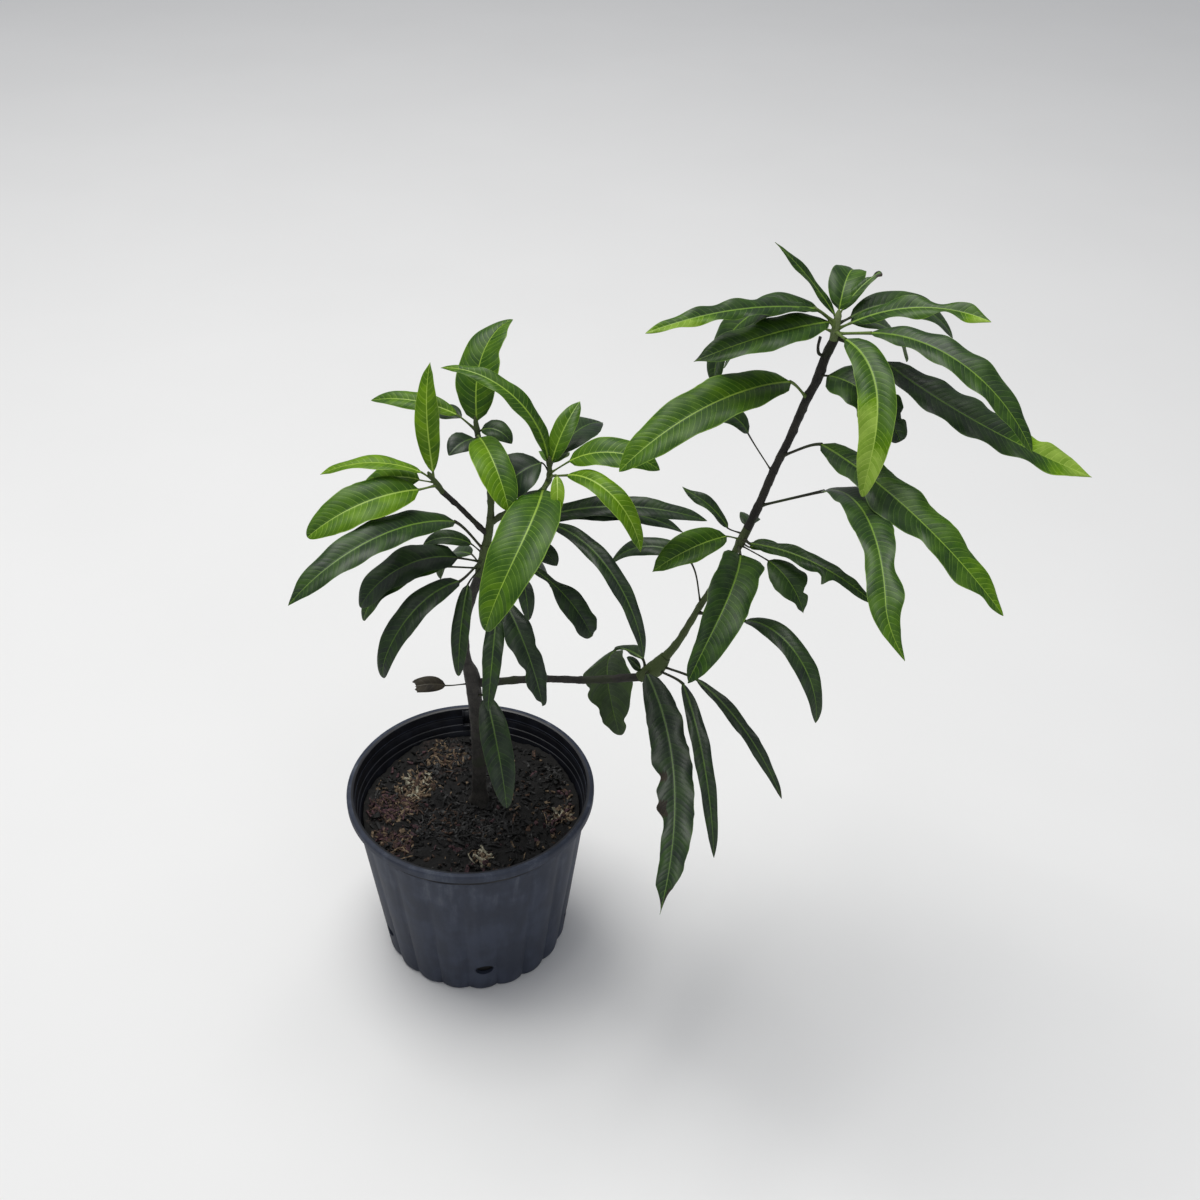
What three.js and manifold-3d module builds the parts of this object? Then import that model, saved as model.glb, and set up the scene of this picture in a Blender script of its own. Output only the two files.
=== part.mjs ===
// A young mango tree in its nursery pot: a slim grafted trunk that forks into three short shoots,
// and one long side bough that turns up at a knuckle, with whorls of drooping leaves at the ends.
// Units are millimetres, +Z is up, +X is the side that the long bough reaches to, and the origin
// is the centre of the pot's flat underside.

import * as THREE from "three";
import { mergeVertices } from "three/addons/utils/BufferGeometryUtils.js";
import Module from "manifold-3d";

const wasm = await Module();
wasm.setup();

// ---------------------------------------------------------------- driving dimensions

const CLEARANCE = 0.3; // gap between neighbouring solids

const POT = {
  height: 228,
  rimRadius: 140,
  wallTopRadius: 134,
  baseRadius: 107,
  wall: 2.4,
  floor: 3,
  toe: 4, // height of the bevel round the foot
  toeSetback: 3,
  lipHeight: 11,
  lipEdge: 2, // how far the lip's edges are rounded back
  mouthDepth: 8, // how far down the lip's inner slope runs
  flutes: 20,
  fluteDepth: 3, // at the foot; the flutes fade out below the lip
  fluteMiddle: 110,
  fluteTop: 205,
  stepsPerFlute: 4,
  holes: 5,
  holeBearing: 280,
  holeWidth: 21,
  holeHeight: 16,
  holeCentre: 40,
  holeSides: 12,
};

const SOIL = {
  level: 190, // height of the surface at the trunk
  rise: 5, // how far the surface is heaped or hollowed
  flatRadius: 30, // level ground round the trunk
  fade: 60, // beyond it, the distance over which the heaps grow to their full height
  waveX: 23,
  waveY: 31,
  sides: 40,
};

const LIMB_SIDES = 8;
const RINGS_PER_POINT = 2;
const LEAF_THICKNESS = 0.012; // of the blade's length, at the midrib
const THINNEST_LEAF = 1.2;
const STALK_RADIUS = 1.4;
const FOLD = 8; // degrees that each half of a blade is lifted from flat
const TURN = 22; // degrees that a blade heading sideways is rolled to face the light, which is on -Y
const BELLY = 0.45; // where along its length a blade is widest
const BLADE_STATIONS = [0.04, 0.12, 0.25, 0.4, 0.55, 0.7, 0.83, 0.93];
const STEPS_PER_STATION = 3;

// ---------------------------------------------------------------- limbs

// Each limb is a short list of [x, y, z, radius] along its centre line, from its foot to its tip.
const LIMBS = {
  trunk: [
    [8, 14, 190.5, 12],
    [8, 13, 202, 9],
    [9, 12, 286, 7.6],
    [7, 10, 352, 7.8],
    [5, 10, 380, 8.4],
    [0, 8, 404, 5.6],
    [-1, 5, 431, 5],
    [2, 2, 466, 4.9],
    [10, 0, 499, 4.9],
    [18, 0, 523, 5.2],
  ],
  middle_shoot: [
    [26, 0, 562, 4.6],
    [30, 2, 587, 3.8],
    [31, 6, 616, 3.2],
    [28, 10, 648, 2.9],
    [21, 13, 670, 2.8],
  ],
  left_shoot: [
    [26, 0, 575, 3],
    [11, -3, 595, 2.4],
    [-3, -6, 614, 2.5],
    [-14, -9, 628, 2.9],
  ],
  right_shoot: [
    [30, 2, 585, 3.2],
    [40, 0, 595, 3],
    [47, -2, 601, 3],
  ],
  right_shoot_end: [
    [61, -8, 615, 2.8],
    [76, -16, 631, 2.6],
    [85, -22, 644, 2.8],
  ],
  low_bough: [
    [9, 10, 371, 4.8],
    [35, 8, 376, 4.2],
    [79, 2, 386, 3.9],
    [133, -5, 392, 3.9],
    [185, -12, 404, 4.6],
  ],
  rising_bough: [
    [211, -14, 434, 4.8],
    [223, -11, 452, 3.8],
    [246, -5, 500, 3.3],
    [264, -1, 534, 3.2],
    [276, 2, 560, 3.6],
  ],
  long_bough: [
    [286, 5, 586, 4.6],
    [294, 8, 608, 4.2],
    [305, 10, 646, 3.9],
    [319, 13, 687, 3.9],
    [330, 15, 724, 4],
    [339, 17, 749, 4.3],
    [344, 18, 771, 4.4],
    [350, 19, 788, 4.4],
  ],
  bare_stalk: [
    [344, 18, 771, 1.6],
    [337, 14, 776, 1.4],
    [335, 12, 784, 1.3],
    [336, 12, 794, 1.4],
  ],
};

// The stem inside each mass of leaves, which carries on from the limb below it.
const STEMS = {
  leaves_at_fork: [
    [18, 0, 523, 5.2],
    [23, 0, 545, 5.2],
    [26, 0, 562, 4.8],
  ],
  leaves_middle_shoot: [
    [21, 13, 670, 2.8],
    [18, 15, 690, 2.2],
  ],
  leaves_left_shoot: [
    [-14, -9, 628, 2.9],
    [-23, -11, 645, 2.2],
  ],
  leaves_right_shoot: [
    [47, -2, 601, 3],
    [61, -8, 615, 2.9],
  ],
  leaves_right_shoot_end: [
    [85, -22, 644, 2.8],
    [90, -25, 658, 2.7],
    [90, -26, 674, 2],
  ],
  leaves_at_knuckle: [
    [185, -12, 404, 6],
    [201, -14, 418, 9],
    [211, -14, 434, 6],
  ],
  leaves_mid_bough: [
    [276, 2, 560, 3.8],
    [286, 5, 586, 4.6],
  ],
  leaves_bough_end: [
    [350, 19, 788, 4.4],
    [351, 20, 809, 3],
  ],
};

// ---------------------------------------------------------------- leaves

// One leaf: how far along its stem it springs, its stalk as [length, bearing, rise], its blade as
// [length, width], the blade's heading as [bearing, sweep] and its rise at base and tip. Bearings
// turn from +X towards +Y, and rises are above the level, all in degrees.
const leaf = (at, stalk, blade, heading, rise, extra = {}) => ({
  at,
  stalk,
  blade,
  heading,
  rise,
  roll: 0,
  twist: 0,
  fold: FOLD,
  belly: BELLY,
  cut: 1,
  ...extra,
});

const LEAVES = {
  leaves_left_shoot: [
    leaf(18, [8, 95, 85], [105, 24], [118, -42], [75, 50]),
    leaf(15, [16, 185, 40], [100, 22], [185, 0], [28, -28], { roll: 20 }),
    leaf(13, [16, 180, 10], [62, 32], [175, 5], [15, -45]),
    leaf(10, [21, 215, 5], [118, 44], [210, -5], [12, -35], { roll: -6 }),
  ],
  leaves_middle_shoot: [
    leaf(18, [6, 85, 75], [112, 42], [103, -65], [80, 15]),
    leaf(15, [24, 168, 35], [88, 22], [168, 0], [22, -18]),
    leaf(9, [20, 280, 25], [92, 38], [290, 10], [15, -65]),
    leaf(6, [6, 230, 20], [34, 26], [225, 0], [20, -40]),
    leaf(13, [6, 330, 35], [37, 22], [340, -5], [36, -60]),
    leaf(12, [23, 140, 20], [42, 20], [140, 0], [10, -50]),
  ],
  leaves_right_shoot_end: [
    leaf(28, [6, 160, 75], [150, 20], [160, 0], [85, -15]),
    leaf(26, [7, 50, 60], [65, 22], [55, 5], [65, 20]),
    leaf(24, [16, 65, 35], [85, 36], [60, -5], [25, -30]),
    leaf(22, [14, 205, 55], [60, 46], [205, 0], [0, -75]),
    leaf(20, [25, 350, 40], [92, 34], [350, 0], [38, -35]),
    leaf(17, [25, 320, 25], [118, 24], [320, 0], [28, -80]),
    leaf(14, [30, 290, 35], [38, 13], [275, -5], [-15, -85]),
    leaf(9, [20, 260, 10], [165, 54], [268, -45], [10, -70]),
    leaf(18, [14, 90, 20], [70, 30], [85, 0], [0, -60]),
  ],
  leaves_right_shoot: [
    leaf(12, [25, 335, -10], [170, 24], [355, 5], [25, -20]),
    leaf(9, [28, 340, -15], [150, 22], [0, 5], [25, -35]),
    leaf(5, [46, 325, 5], [185, 19], [315, -5], [20, -80]),
  ],
  leaves_at_fork: [
    leaf(33, [45, 345, 15], [38, 22], [340, 0], [15, -60]),
    leaf(27, [41, 335, 5], [108, 26], [325, 0], [0, -60], { belly: 0.7 }),
    leaf(19, [53, 320, 5], [46, 16], [290, -10], [-10, -80]),
    leaf(31, [55, 210, 55], [200, 38], [225, -10], [30, -40]),
    leaf(17, [30, 205, 25], [118, 38], [205, 0], [25, -60]),
    leaf(9, [41, 200, 15], [108, 24], [200, 0], [15, -75]),
    leaf(22, [39, 235, -10], [140, 28], [229, 0], [18, -75]),
    leaf(12, [29, 245, -10], [95, 18], [260, 5], [-30, -80]),
    leaf(14, [44, 295, -20], [115, 20], [270, -10], [-25, -70]),
    leaf(7, [46, 306, -15], [116, 26], [298, 5], [-15, -70]),
    leaf(26, [18, 180, 45], [52, 18], [180, 0], [35, -40]),
    leaf(24, [22, 60, 10], [105, 30], [55, 0], [-5, -70]),
    leaf(15, [22, 25, 0], [82, 26], [30, 0], [-10, -80]),
    leaf(11, [24, 120, 0], [95, 28], [130, 0], [-15, -80]),
  ],
  leaves_at_knuckle: [
    leaf(12, [20, 262, 35], [262, 42], [293, -40], [-13, -36]),
    leaf(21, [44, 310, 10], [195, 18], [282, 0], [5, -70]),
    leaf(27, [48, 325, 5], [154, 15], [312, -5], [-3, -50]),
    leaf(10, [16, 130, 60], [172, 62], [134, -31], [6, -176]),
    leaf(6, [8, 190, 60], [24, 14], [190, 0], [60, 40]),
  ],
  leaves_mid_bough: [
    leaf(14, [20, 205, 25], [88, 36], [215, -10], [10, -30], { fold: 18 }),
    leaf(20, [18, 165, 15], [62, 14], [150, 10], [52, 8]),
    leaf(22, [10, 80, 10], [40, 22], [75, 5], [15, -60]),
    leaf(7, [20, 270, 5], [160, 46], [265, -40], [10, -60], { fold: 22, roll: -18 }),
    leaf(16, [13, 300, 5], [145, 20], [328, 0], [15, -30]),
    leaf(11, [12, 315, 0], [45, 16], [340, 5], [30, -35]),
    leaf(8, [38, 315, 0], [66, 32], [310, 5], [0, -68]),
  ],
  leaves_bough_end: [
    leaf(19, [5, 170, 60], [90, 13], [170, 5], [55, 40]),
    leaf(18, [11, 70, 75], [75, 32], [75, -10], [65, -50]),
    leaf(17, [12, 30, 70], [50, 12], [30, 0], [55, 20]),
    leaf(14, [32, 200, 40], [168, 22], [205, -5], [16, -14]),
    leaf(16, [25, 200, 38], [142, 34], [178, 36], [26, -98], { roll: 15 }),
    leaf(12, [12, 210, 40], [140, 38], [215, -20], [9, -20]),
    leaf(10, [17, 340, 35], [128, 26], [350, -20], [33, -10]),
    leaf(15, [14, 5, 30], [118, 32], [15, -10], [30, -60]),
    leaf(6, [39, 320, 20], [194, 31], [320, 0], [20, -55]),
    leaf(3, [52, 335, -15], [215, 42], [315, 40], [-15, -20]),
    leaf(8, [24, 285, 10], [165, 34], [305, -70], [0, -80]),
    leaf(9, [20, 40, 5], [110, 30], [35, 0], [-5, -70]),
    leaf(7, [20, 150, 5], [115, 30], [155, 0], [-5, -70]),
  ],
};

// Leaves that spring singly from the side of a limb, each a solid of its own.
const SINGLE_LEAVES = {
  leaf_long_bough_left_high: ["long_bough", leaf(150, [32, 210, 45], [195, 48], [215, -10], [14, -42])],
  leaf_long_bough_left_low: ["long_bough", leaf(65, [48, 165, 55], [75, 26], [170, 5], [65, -50])],
  leaf_long_bough_right_high: ["long_bough", leaf(175, [12, 310, 20], [100, 50], [315, 0], [16, -55])],
  leaf_long_bough_right_middle: ["long_bough", leaf(85, [51, 322, 35], [245, 42], [300, 25], [8, -42])],
  leaf_long_bough_right_low: ["long_bough", leaf(26, [73, 335, 30], [262, 33], [289, -24], [38, -48])],
  leaf_rising_bough_right: ["rising_bough", leaf(62, [59, 325, 15], [152, 24], [312, -5], [33, -92])],
  leaf_rising_bough_left: ["rising_bough", leaf(72, [51, 165, 75], [95, 22], [170, 5], [45, -60])],
  leaf_over_pot: ["trunk", leaf(165, [20, 320, 20], [128, 32], [285, 5], [-10, -75])],
  leaf_torn: ["trunk", leaf(180, [30, 195, 5], [48, 20], [195, 0], [25, -25], { cut: 0.7 })],
};

// ---------------------------------------------------------------- small helpers

const radians = (degrees) => (degrees * Math.PI) / 180;
const mix = (a, b, t) => a + (b - a) * t;

// The direction with this bearing and rise, and the two directions across it: to its right, and up
// from its upper face.
function frameAt(bearing, rise, roll) {
  const [b, r, turn] = [bearing, rise, roll].map(radians);
  const along = new THREE.Vector3(Math.cos(r) * Math.cos(b), Math.cos(r) * Math.sin(b), Math.sin(r));
  const right = new THREE.Vector3(Math.sin(b), -Math.cos(b), 0);
  const up = new THREE.Vector3().crossVectors(right, along);
  right.applyAxisAngle(along, turn);
  up.applyAxisAngle(along, turn);
  return { along, right, up };
}

// A closed geometry from rings of equal point counts, with a fan over each end.
function loft(rings, startPoint, endPoint) {
  const sides = rings[0].length;
  const positions = [...rings.flat(), startPoint, endPoint].flatMap((p) => [p.x, p.y, p.z]);
  const start = rings.length * sides;
  const index = [];
  for (let side = 0; side < sides; side++) {
    const next = (side + 1) % sides;
    const last = (rings.length - 1) * sides;
    index.push(start, next, side);
    index.push(start + 1, last + side, last + next);
    for (let ring = 0; ring + 1 < rings.length; ring++) {
      const low = ring * sides;
      const high = low + sides;
      index.push(low + side, low + next, high + next);
      index.push(low + side, high + next, high + side);
    }
  }
  const geometry = new THREE.BufferGeometry();
  geometry.setAttribute("position", new THREE.Float32BufferAttribute(positions, 3));
  geometry.setIndex(index);
  return geometry;
}

function toSolid(geometry) {
  const bare = new THREE.BufferGeometry();
  bare.setAttribute("position", geometry.getAttribute("position"));
  bare.setIndex(geometry.getIndex());
  const merged = mergeVertices(bare, 1e-3);
  return new wasm.Manifold(
    new wasm.Mesh({
      numProp: 3,
      vertProperties: merged.attributes.position.array,
      triVerts: new Uint32Array(merged.index.array),
    }),
  );
}

function toGeometry(solid) {
  const mesh = solid.getMesh();
  const geometry = new THREE.BufferGeometry();
  geometry.setAttribute("position", new THREE.BufferAttribute(mesh.vertProperties, 3));
  geometry.setIndex(new THREE.BufferAttribute(mesh.triVerts, 1));
  return geometry;
}

// ---------------------------------------------------------------- limbs and stems

const pointOf = ([x, y, z]) => new THREE.Vector3(x, y, z);

// The place on a limb's centre line at a distance from its foot.
function placeAlong(path, distance) {
  let left = distance;
  for (let i = 0; i + 1 < path.length; i++) {
    const [from, to] = [pointOf(path[i]), pointOf(path[i + 1])];
    const span = from.distanceTo(to);
    if (left <= span || i + 2 === path.length) return from.lerp(to, left / span);
    left -= span;
  }
}

const middleOf = (ring) =>
  ring.reduce((sum, point) => sum.add(point), new THREE.Vector3()).divideScalar(ring.length);

// A tapering limb with flat ends, made larger on every side by the growth given.
function limbSolid(path, grow = 0, levelFoot = false) {
  const curve = new THREE.CatmullRomCurve3(path.map(pointOf), false, "centripetal");
  const count = (path.length - 1) * RINGS_PER_POINT;
  const rings = [];
  for (let i = 0; i <= count; i++) {
    const t = i / count;
    const along = levelFoot && i === 0 ? new THREE.Vector3(0, 0, 1) : curve.getTangent(t);
    const centre = curve.getPoint(t);
    if (i === 0) centre.addScaledVector(along, -grow);
    if (i === count) centre.addScaledVector(along, grow);
    const right = new THREE.Vector3(0, 1, 0).cross(along).normalize();
    const up = new THREE.Vector3().crossVectors(along, right);
    const place = t * (path.length - 1);
    const low = Math.min(Math.floor(place), path.length - 2);
    const radius = mix(path[low][3], path[low + 1][3], place - low) + grow;
    rings.push(
      Array.from({ length: LIMB_SIDES }, (_, side) => {
        const angle = ((side + 0.5) / LIMB_SIDES) * 2 * Math.PI;
        return centre
          .clone()
          .addScaledVector(right, radius * Math.cos(angle))
          .addScaledVector(up, radius * Math.sin(angle));
      }),
    );
  }
  return toSolid(loft(rings, middleOf(rings[0]), middleOf(rings[rings.length - 1])));
}

// ---------------------------------------------------------------- leaves

// A blade's half width at a share of its length: a rounded base, a belly and a drawn-out tip.
function halfWidth(share, width, belly) {
  const bend = Math.log(0.5) / Math.log(belly);
  return (width / 2) * Math.sin(Math.PI * share ** bend) ** 0.7;
}

// The diamond section that both stalk and blade are lofted from.
function section(centre, frame, half, lift, thickness) {
  return [
    centre.clone().addScaledVector(frame.right, half).addScaledVector(frame.up, lift),
    centre.clone().addScaledVector(frame.up, -thickness / 2),
    centre.clone().addScaledVector(frame.right, -half).addScaledVector(frame.up, lift),
    centre.clone().addScaledVector(frame.up, thickness / 2),
  ];
}

// One leaf as a single closed solid, from the stem's centre line to the blade's tip.
function leafSolid(one, root) {
  const [stalkLength, stalkBearing, stalkRise] = one.stalk;
  const [length, width] = one.blade;
  const [bearing, sweep] = one.heading;
  const thickness = Math.max(THINNEST_LEAF, LEAF_THICKNESS * length);
  const roll = one.roll + TURN * Math.cos(radians(bearing));
  const stalkFrame = frameAt(stalkBearing, stalkRise, roll);
  const rings = [0, 0.5, 0.97].map((share) =>
    section(
      root.clone().addScaledVector(stalkFrame.along, stalkLength * share),
      stalkFrame,
      STALK_RADIUS,
      0,
      2 * STALK_RADIUS,
    ),
  );
  const point = root.clone().addScaledVector(stalkFrame.along, stalkLength);
  const stations = [...BLADE_STATIONS.filter((share) => share < one.cut), one.cut];
  let done = 0;
  for (const share of stations) {
    let frame;
    for (let i = 1; i <= STEPS_PER_STATION; i++) {
      const at = mix(done, share, (i - 0.5) / STEPS_PER_STATION);
      frame = frameAt(bearing + sweep * at, mix(one.rise[0], one.rise[1], at), roll + one.twist * at);
      point.addScaledVector(frame.along, (length * (share - done)) / STEPS_PER_STATION);
    }
    done = share;
    if (share < 1) {
      const half = halfWidth(share, width, one.belly);
      const lift = half * Math.tan(radians(one.fold));
      rings.push(section(point, frame, half, lift, Math.min(thickness, 2 * half)));
    }
  }
  return toSolid(loft(rings, root, point.clone()));
}

// A mass: its stem, with every leaf's stalk sunk to the stem's centre line.
function massSolid(name) {
  const path = STEMS[name];
  let mass = limbSolid(path);
  for (const one of LEAVES[name]) {
    mass = mass.add(leafSolid(one, placeAlong(path, one.at)));
  }
  return mass;
}

// ---------------------------------------------------------------- pot and soil

// Points on a ring round the pot's axis, fluted by depth: each flute is a shallow arch that meets
// the next one in a crease.
function potRing(radius, height, depth = 0) {
  const sides = POT.flutes * POT.stepsPerFlute;
  return Array.from({ length: sides }, (_, i) => {
    const angle = (i / sides) * 2 * Math.PI;
    const arch = Math.abs(Math.sin((angle * POT.flutes) / 2));
    const r = radius - depth * (1 - arch);
    return new THREE.Vector3(r * Math.cos(angle), r * Math.sin(angle), height);
  });
}

// The radius of the wall's outer face at a height.
const wallRadius = (z) => mix(POT.baseRadius, POT.wallTopRadius, z / POT.height);

function drainHole(bearing) {
  const reach = POT.wall * 12;
  const hole = new THREE.CylinderGeometry(POT.holeWidth / 2, POT.holeWidth / 2, reach, POT.holeSides);
  hole.scale(1, 1, POT.holeHeight / POT.holeWidth);
  hole.rotateZ(Math.PI / 2);
  hole.translate(POT.baseRadius - reach / 4, 0, POT.holeCentre);
  hole.rotateZ(radians(bearing));
  return toSolid(hole);
}

function potSolid() {
  const lipFoot = POT.height - POT.lipHeight;
  const mouth = wallRadius(POT.height) - POT.lipEdge / 2;
  const inner = (z) => wallRadius(z) - POT.fluteDepth - POT.wall;
  const rings = [
    potRing(POT.baseRadius - POT.toeSetback, 0, POT.fluteDepth),
    potRing(POT.baseRadius, POT.toe, POT.fluteDepth),
    potRing(wallRadius(POT.fluteMiddle), POT.fluteMiddle, POT.fluteDepth * 0.6),
    potRing(wallRadius(POT.fluteTop), POT.fluteTop, POT.fluteDepth * 0.2),
    potRing(wallRadius(lipFoot), lipFoot),
    potRing(POT.rimRadius - POT.lipEdge / 2, lipFoot),
    potRing(POT.rimRadius, lipFoot + 2 * POT.lipEdge),
    potRing(POT.rimRadius, POT.height - POT.lipEdge),
    potRing(POT.rimRadius - POT.lipEdge, POT.height),
    potRing(mouth, POT.height),
    potRing(inner(POT.height), POT.height - POT.mouthDepth),
    potRing(inner(POT.floor), POT.floor),
  ];
  let pot = toSolid(loft(rings, new THREE.Vector3(0, 0, 0), new THREE.Vector3(0, 0, POT.floor)));
  for (let i = 0; i < POT.holes; i++) {
    pot = pot.subtract(drainHole(POT.holeBearing + (i * 360) / POT.holes));
  }
  return pot;
}

// The fill: it lines the pot's inside by the clearance, and its surface is gently uneven.
function soilSolid() {
  const lining = POT.fluteDepth + POT.wall + 2 * CLEARANCE;
  const inner = (z) => wallRadius(z) - lining;
  const edge = inner(SOIL.level);
  const bottom = POT.floor + CLEARANCE;
  const [footX, footY] = LIMBS.trunk[0];
  const surface = (x, y) => {
    const away = Math.max(0, Math.hypot(x - footX, y - footY) - SOIL.flatRadius) / SOIL.fade;
    const heap = Math.sin(x / SOIL.waveX + 1) * Math.cos(y / SOIL.waveY);
    return SOIL.level + SOIL.rise * Math.min(1, away) * heap;
  };
  // A ring that runs a share of the way out from the trunk to a circle round the pot's axis.
  const ring = (share, radius, heightAt) =>
    Array.from({ length: SOIL.sides }, (_, i) => {
      const angle = (i / SOIL.sides) * 2 * Math.PI;
      const x = mix(footX, radius * Math.cos(angle), share);
      const y = mix(footY, radius * Math.sin(angle), share);
      return new THREE.Vector3(x, y, heightAt(x, y));
    });
  const shoulder = SOIL.level - 3 * SOIL.rise;
  const rings = [
    ring(1, inner(bottom), () => bottom),
    ring(1, inner(shoulder), () => shoulder),
    ...[1, 0.8, 0.55, 0.25].map((share) => ring(share, edge, surface)),
  ];
  const middle = new THREE.Vector3(footX, footY, SOIL.level);
  return toSolid(loft(rings, new THREE.Vector3(0, 0, bottom), middle));
}

// ---------------------------------------------------------------- the whole plant

const COLOURS = {
  pot: 0x2b303b,
  soil: 0x2a221d,
  bark: 0x4a4339,
  leaf: 0x4f7a35,
};

const plant = new THREE.Group();

function addPart(name, solid, color, roughness) {
  const material = new THREE.MeshStandardMaterial({ color, roughness, metalness: 0, flatShading: true });
  const mesh = new THREE.Mesh(toGeometry(solid), material);
  mesh.name = name;
  plant.add(mesh);
}

// Where a limb or a mass springs from a limb, it is trimmed clear of it.
const TRIMMED_BY = {
  left_shoot: ["middle_shoot"],
  right_shoot: ["middle_shoot"],
  low_bough: ["trunk"],
  bare_stalk: ["long_bough"],
  leaves_at_fork: ["trunk", "middle_shoot", "left_shoot"],
  leaves_middle_shoot: ["middle_shoot"],
  leaves_left_shoot: ["left_shoot"],
  leaves_right_shoot: ["right_shoot", "right_shoot_end"],
  leaves_right_shoot_end: ["right_shoot_end"],
  leaves_at_knuckle: ["low_bough", "rising_bough"],
  leaves_mid_bough: ["rising_bough", "long_bough"],
  leaves_bough_end: ["long_bough"],
};

// Cuts the hosts, grown by the clearance, out of a solid, and keeps its biggest piece: what is
// left inside a host falls away.
function trimmed(solid, hosts = []) {
  let rest = solid;
  for (const host of hosts) rest = rest.subtract(limbSolid(LIMBS[host], CLEARANCE));
  return rest.decompose().sort((a, b) => b.volume() - a.volume())[0];
}

addPart("pot", potSolid(), COLOURS.pot, 0.55);
addPart("potting_mix", soilSolid(), COLOURS.soil, 0.95);

for (const [name, path] of Object.entries(LIMBS)) {
  const limb = limbSolid(path, 0, name === "trunk");
  addPart(name, trimmed(limb, TRIMMED_BY[name]), COLOURS.bark, 0.8);
}

for (const name of Object.keys(STEMS)) {
  addPart(name, trimmed(massSolid(name), TRIMMED_BY[name]), COLOURS.leaf, 0.45);
}

for (const [name, [host, one]] of Object.entries(SINGLE_LEAVES)) {
  const blade = leafSolid(one, placeAlong(LIMBS[host], one.at));
  addPart(name, trimmed(blade, [host]), COLOURS.leaf, 0.45);
}

export default plant;
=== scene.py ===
# %% [markdown]
# # A young mango tree in its nursery pot
# The real plant is a slim trunk that forks into three short shoots, with one long side bough
# that turns up at a knuckle. Whorls of long leathery leaves droop from every shoot. The packed
# model gives each trunk, bough, mass of leaves and the pot its place. Here each of them gets
# its finished surface: fluted plastic, bark, damp potting mix, and leaves with raised veins.
# Every piece stays where its node is, so nothing has to be fitted afterwards.

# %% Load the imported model
import math

import bmesh
import bpy
import numpy as np
from mathutils import Matrix, Vector


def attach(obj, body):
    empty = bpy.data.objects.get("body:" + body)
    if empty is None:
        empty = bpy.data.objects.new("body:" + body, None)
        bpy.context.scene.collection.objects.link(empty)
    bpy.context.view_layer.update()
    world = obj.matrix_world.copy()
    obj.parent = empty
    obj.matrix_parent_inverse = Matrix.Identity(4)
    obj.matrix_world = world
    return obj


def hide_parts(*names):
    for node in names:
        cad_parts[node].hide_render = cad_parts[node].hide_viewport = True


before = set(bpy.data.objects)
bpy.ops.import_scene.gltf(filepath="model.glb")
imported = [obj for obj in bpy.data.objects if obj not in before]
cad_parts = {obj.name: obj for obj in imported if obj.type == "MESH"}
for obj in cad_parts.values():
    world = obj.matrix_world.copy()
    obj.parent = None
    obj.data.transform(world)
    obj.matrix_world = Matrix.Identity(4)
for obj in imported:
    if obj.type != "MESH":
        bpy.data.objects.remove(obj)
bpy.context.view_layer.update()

MM = 0.001  # the tables below are in millimetres, and Blender works in metres

print("nodes in the frame:", len(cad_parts))

# %% [markdown]
# ## Camera
# A person standing over the pot looks down at it. The camera could be aimed with a constraint,
# but a matrix built from its tilt and roll says exactly where it looks, and stays put.

# %% Aim the camera
CAMERA_PLACE = (0.141, -1.231, 1.423)
CAMERA_TILT = 37.0  # degrees below the level
CAMERA_ROLL = 1.5  # degrees
LENS, SENSOR = 45.0, 36.0  # millimetres
NEAREST = 0.05

camera = bpy.data.objects.new("camera", bpy.data.cameras.new("camera"))
camera.data.lens = LENS
camera.data.sensor_width = SENSOR
camera.data.clip_start = NEAREST
tilted = Matrix.Rotation(math.radians(90.0 - CAMERA_TILT), 4, "X")
rolled = Matrix.Rotation(math.radians(CAMERA_ROLL), 4, "Z")
camera.matrix_world = Matrix.Translation(CAMERA_PLACE) @ tilted @ rolled
bpy.context.scene.collection.objects.link(camera)
bpy.context.scene.camera = camera
print("camera height above the floor:", CAMERA_PLACE[2], "m")

# %% [markdown]
# ## Light
# Waxy leaves show their shape by the sky they mirror, so the light is a broad soft panel
# overhead, a weaker one from the front, and a pale world that fills the shadows. Point lamps
# would put hard sparks on every vein.

# %% Hang the lights
PLANT_MIDDLE = (0.15, 0.0, 0.45)
PANELS = {  # place, side in metres, watts and colour
    "sky panel": ((-0.6, 0.5, 4.6), 2.6, 165, (1.0, 0.99, 0.96)),
    "front panel": ((1.3, -2.3, 1.6), 1.5, 6, (0.95, 0.97, 1.0)),
}
WORLD_COLOUR = (0.93, 0.95, 1.0, 1.0)
WORLD_STRENGTH = 0.38


def hang_panel(name, place, size, watts, colour):
    """A square area light at a place, turned to face the plant."""
    lamp = bpy.data.objects.new(name, bpy.data.lights.new(name, "AREA"))
    lamp.data.size = size
    lamp.data.energy = watts
    lamp.data.color = colour
    lamp.location = place
    lamp.rotation_mode = "QUATERNION"
    away = Vector(place) - Vector(PLANT_MIDDLE)
    lamp.rotation_quaternion = away.to_track_quat("Z", "Y")
    bpy.context.scene.collection.objects.link(lamp)


for name, look in PANELS.items():
    hang_panel(name, *look)

world = bpy.data.worlds.new("studio")
world.use_nodes = True
background = world.node_tree.nodes["Background"]
background.inputs["Color"].default_value = WORLD_COLOUR
background.inputs["Strength"].default_value = WORLD_STRENGTH
bpy.context.scene.world = world
bpy.context.scene.view_settings.view_transform = "Standard"

# %% [markdown]
# ## Shader maths as Python
# A finish is a sum of a few patterns. Laying Math nodes by hand hides that sum, so one small
# class wraps a socket and turns each operator into its node, and another holds the material
# and adds every other kind of node in one way: its settings first, then its sockets.


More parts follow.
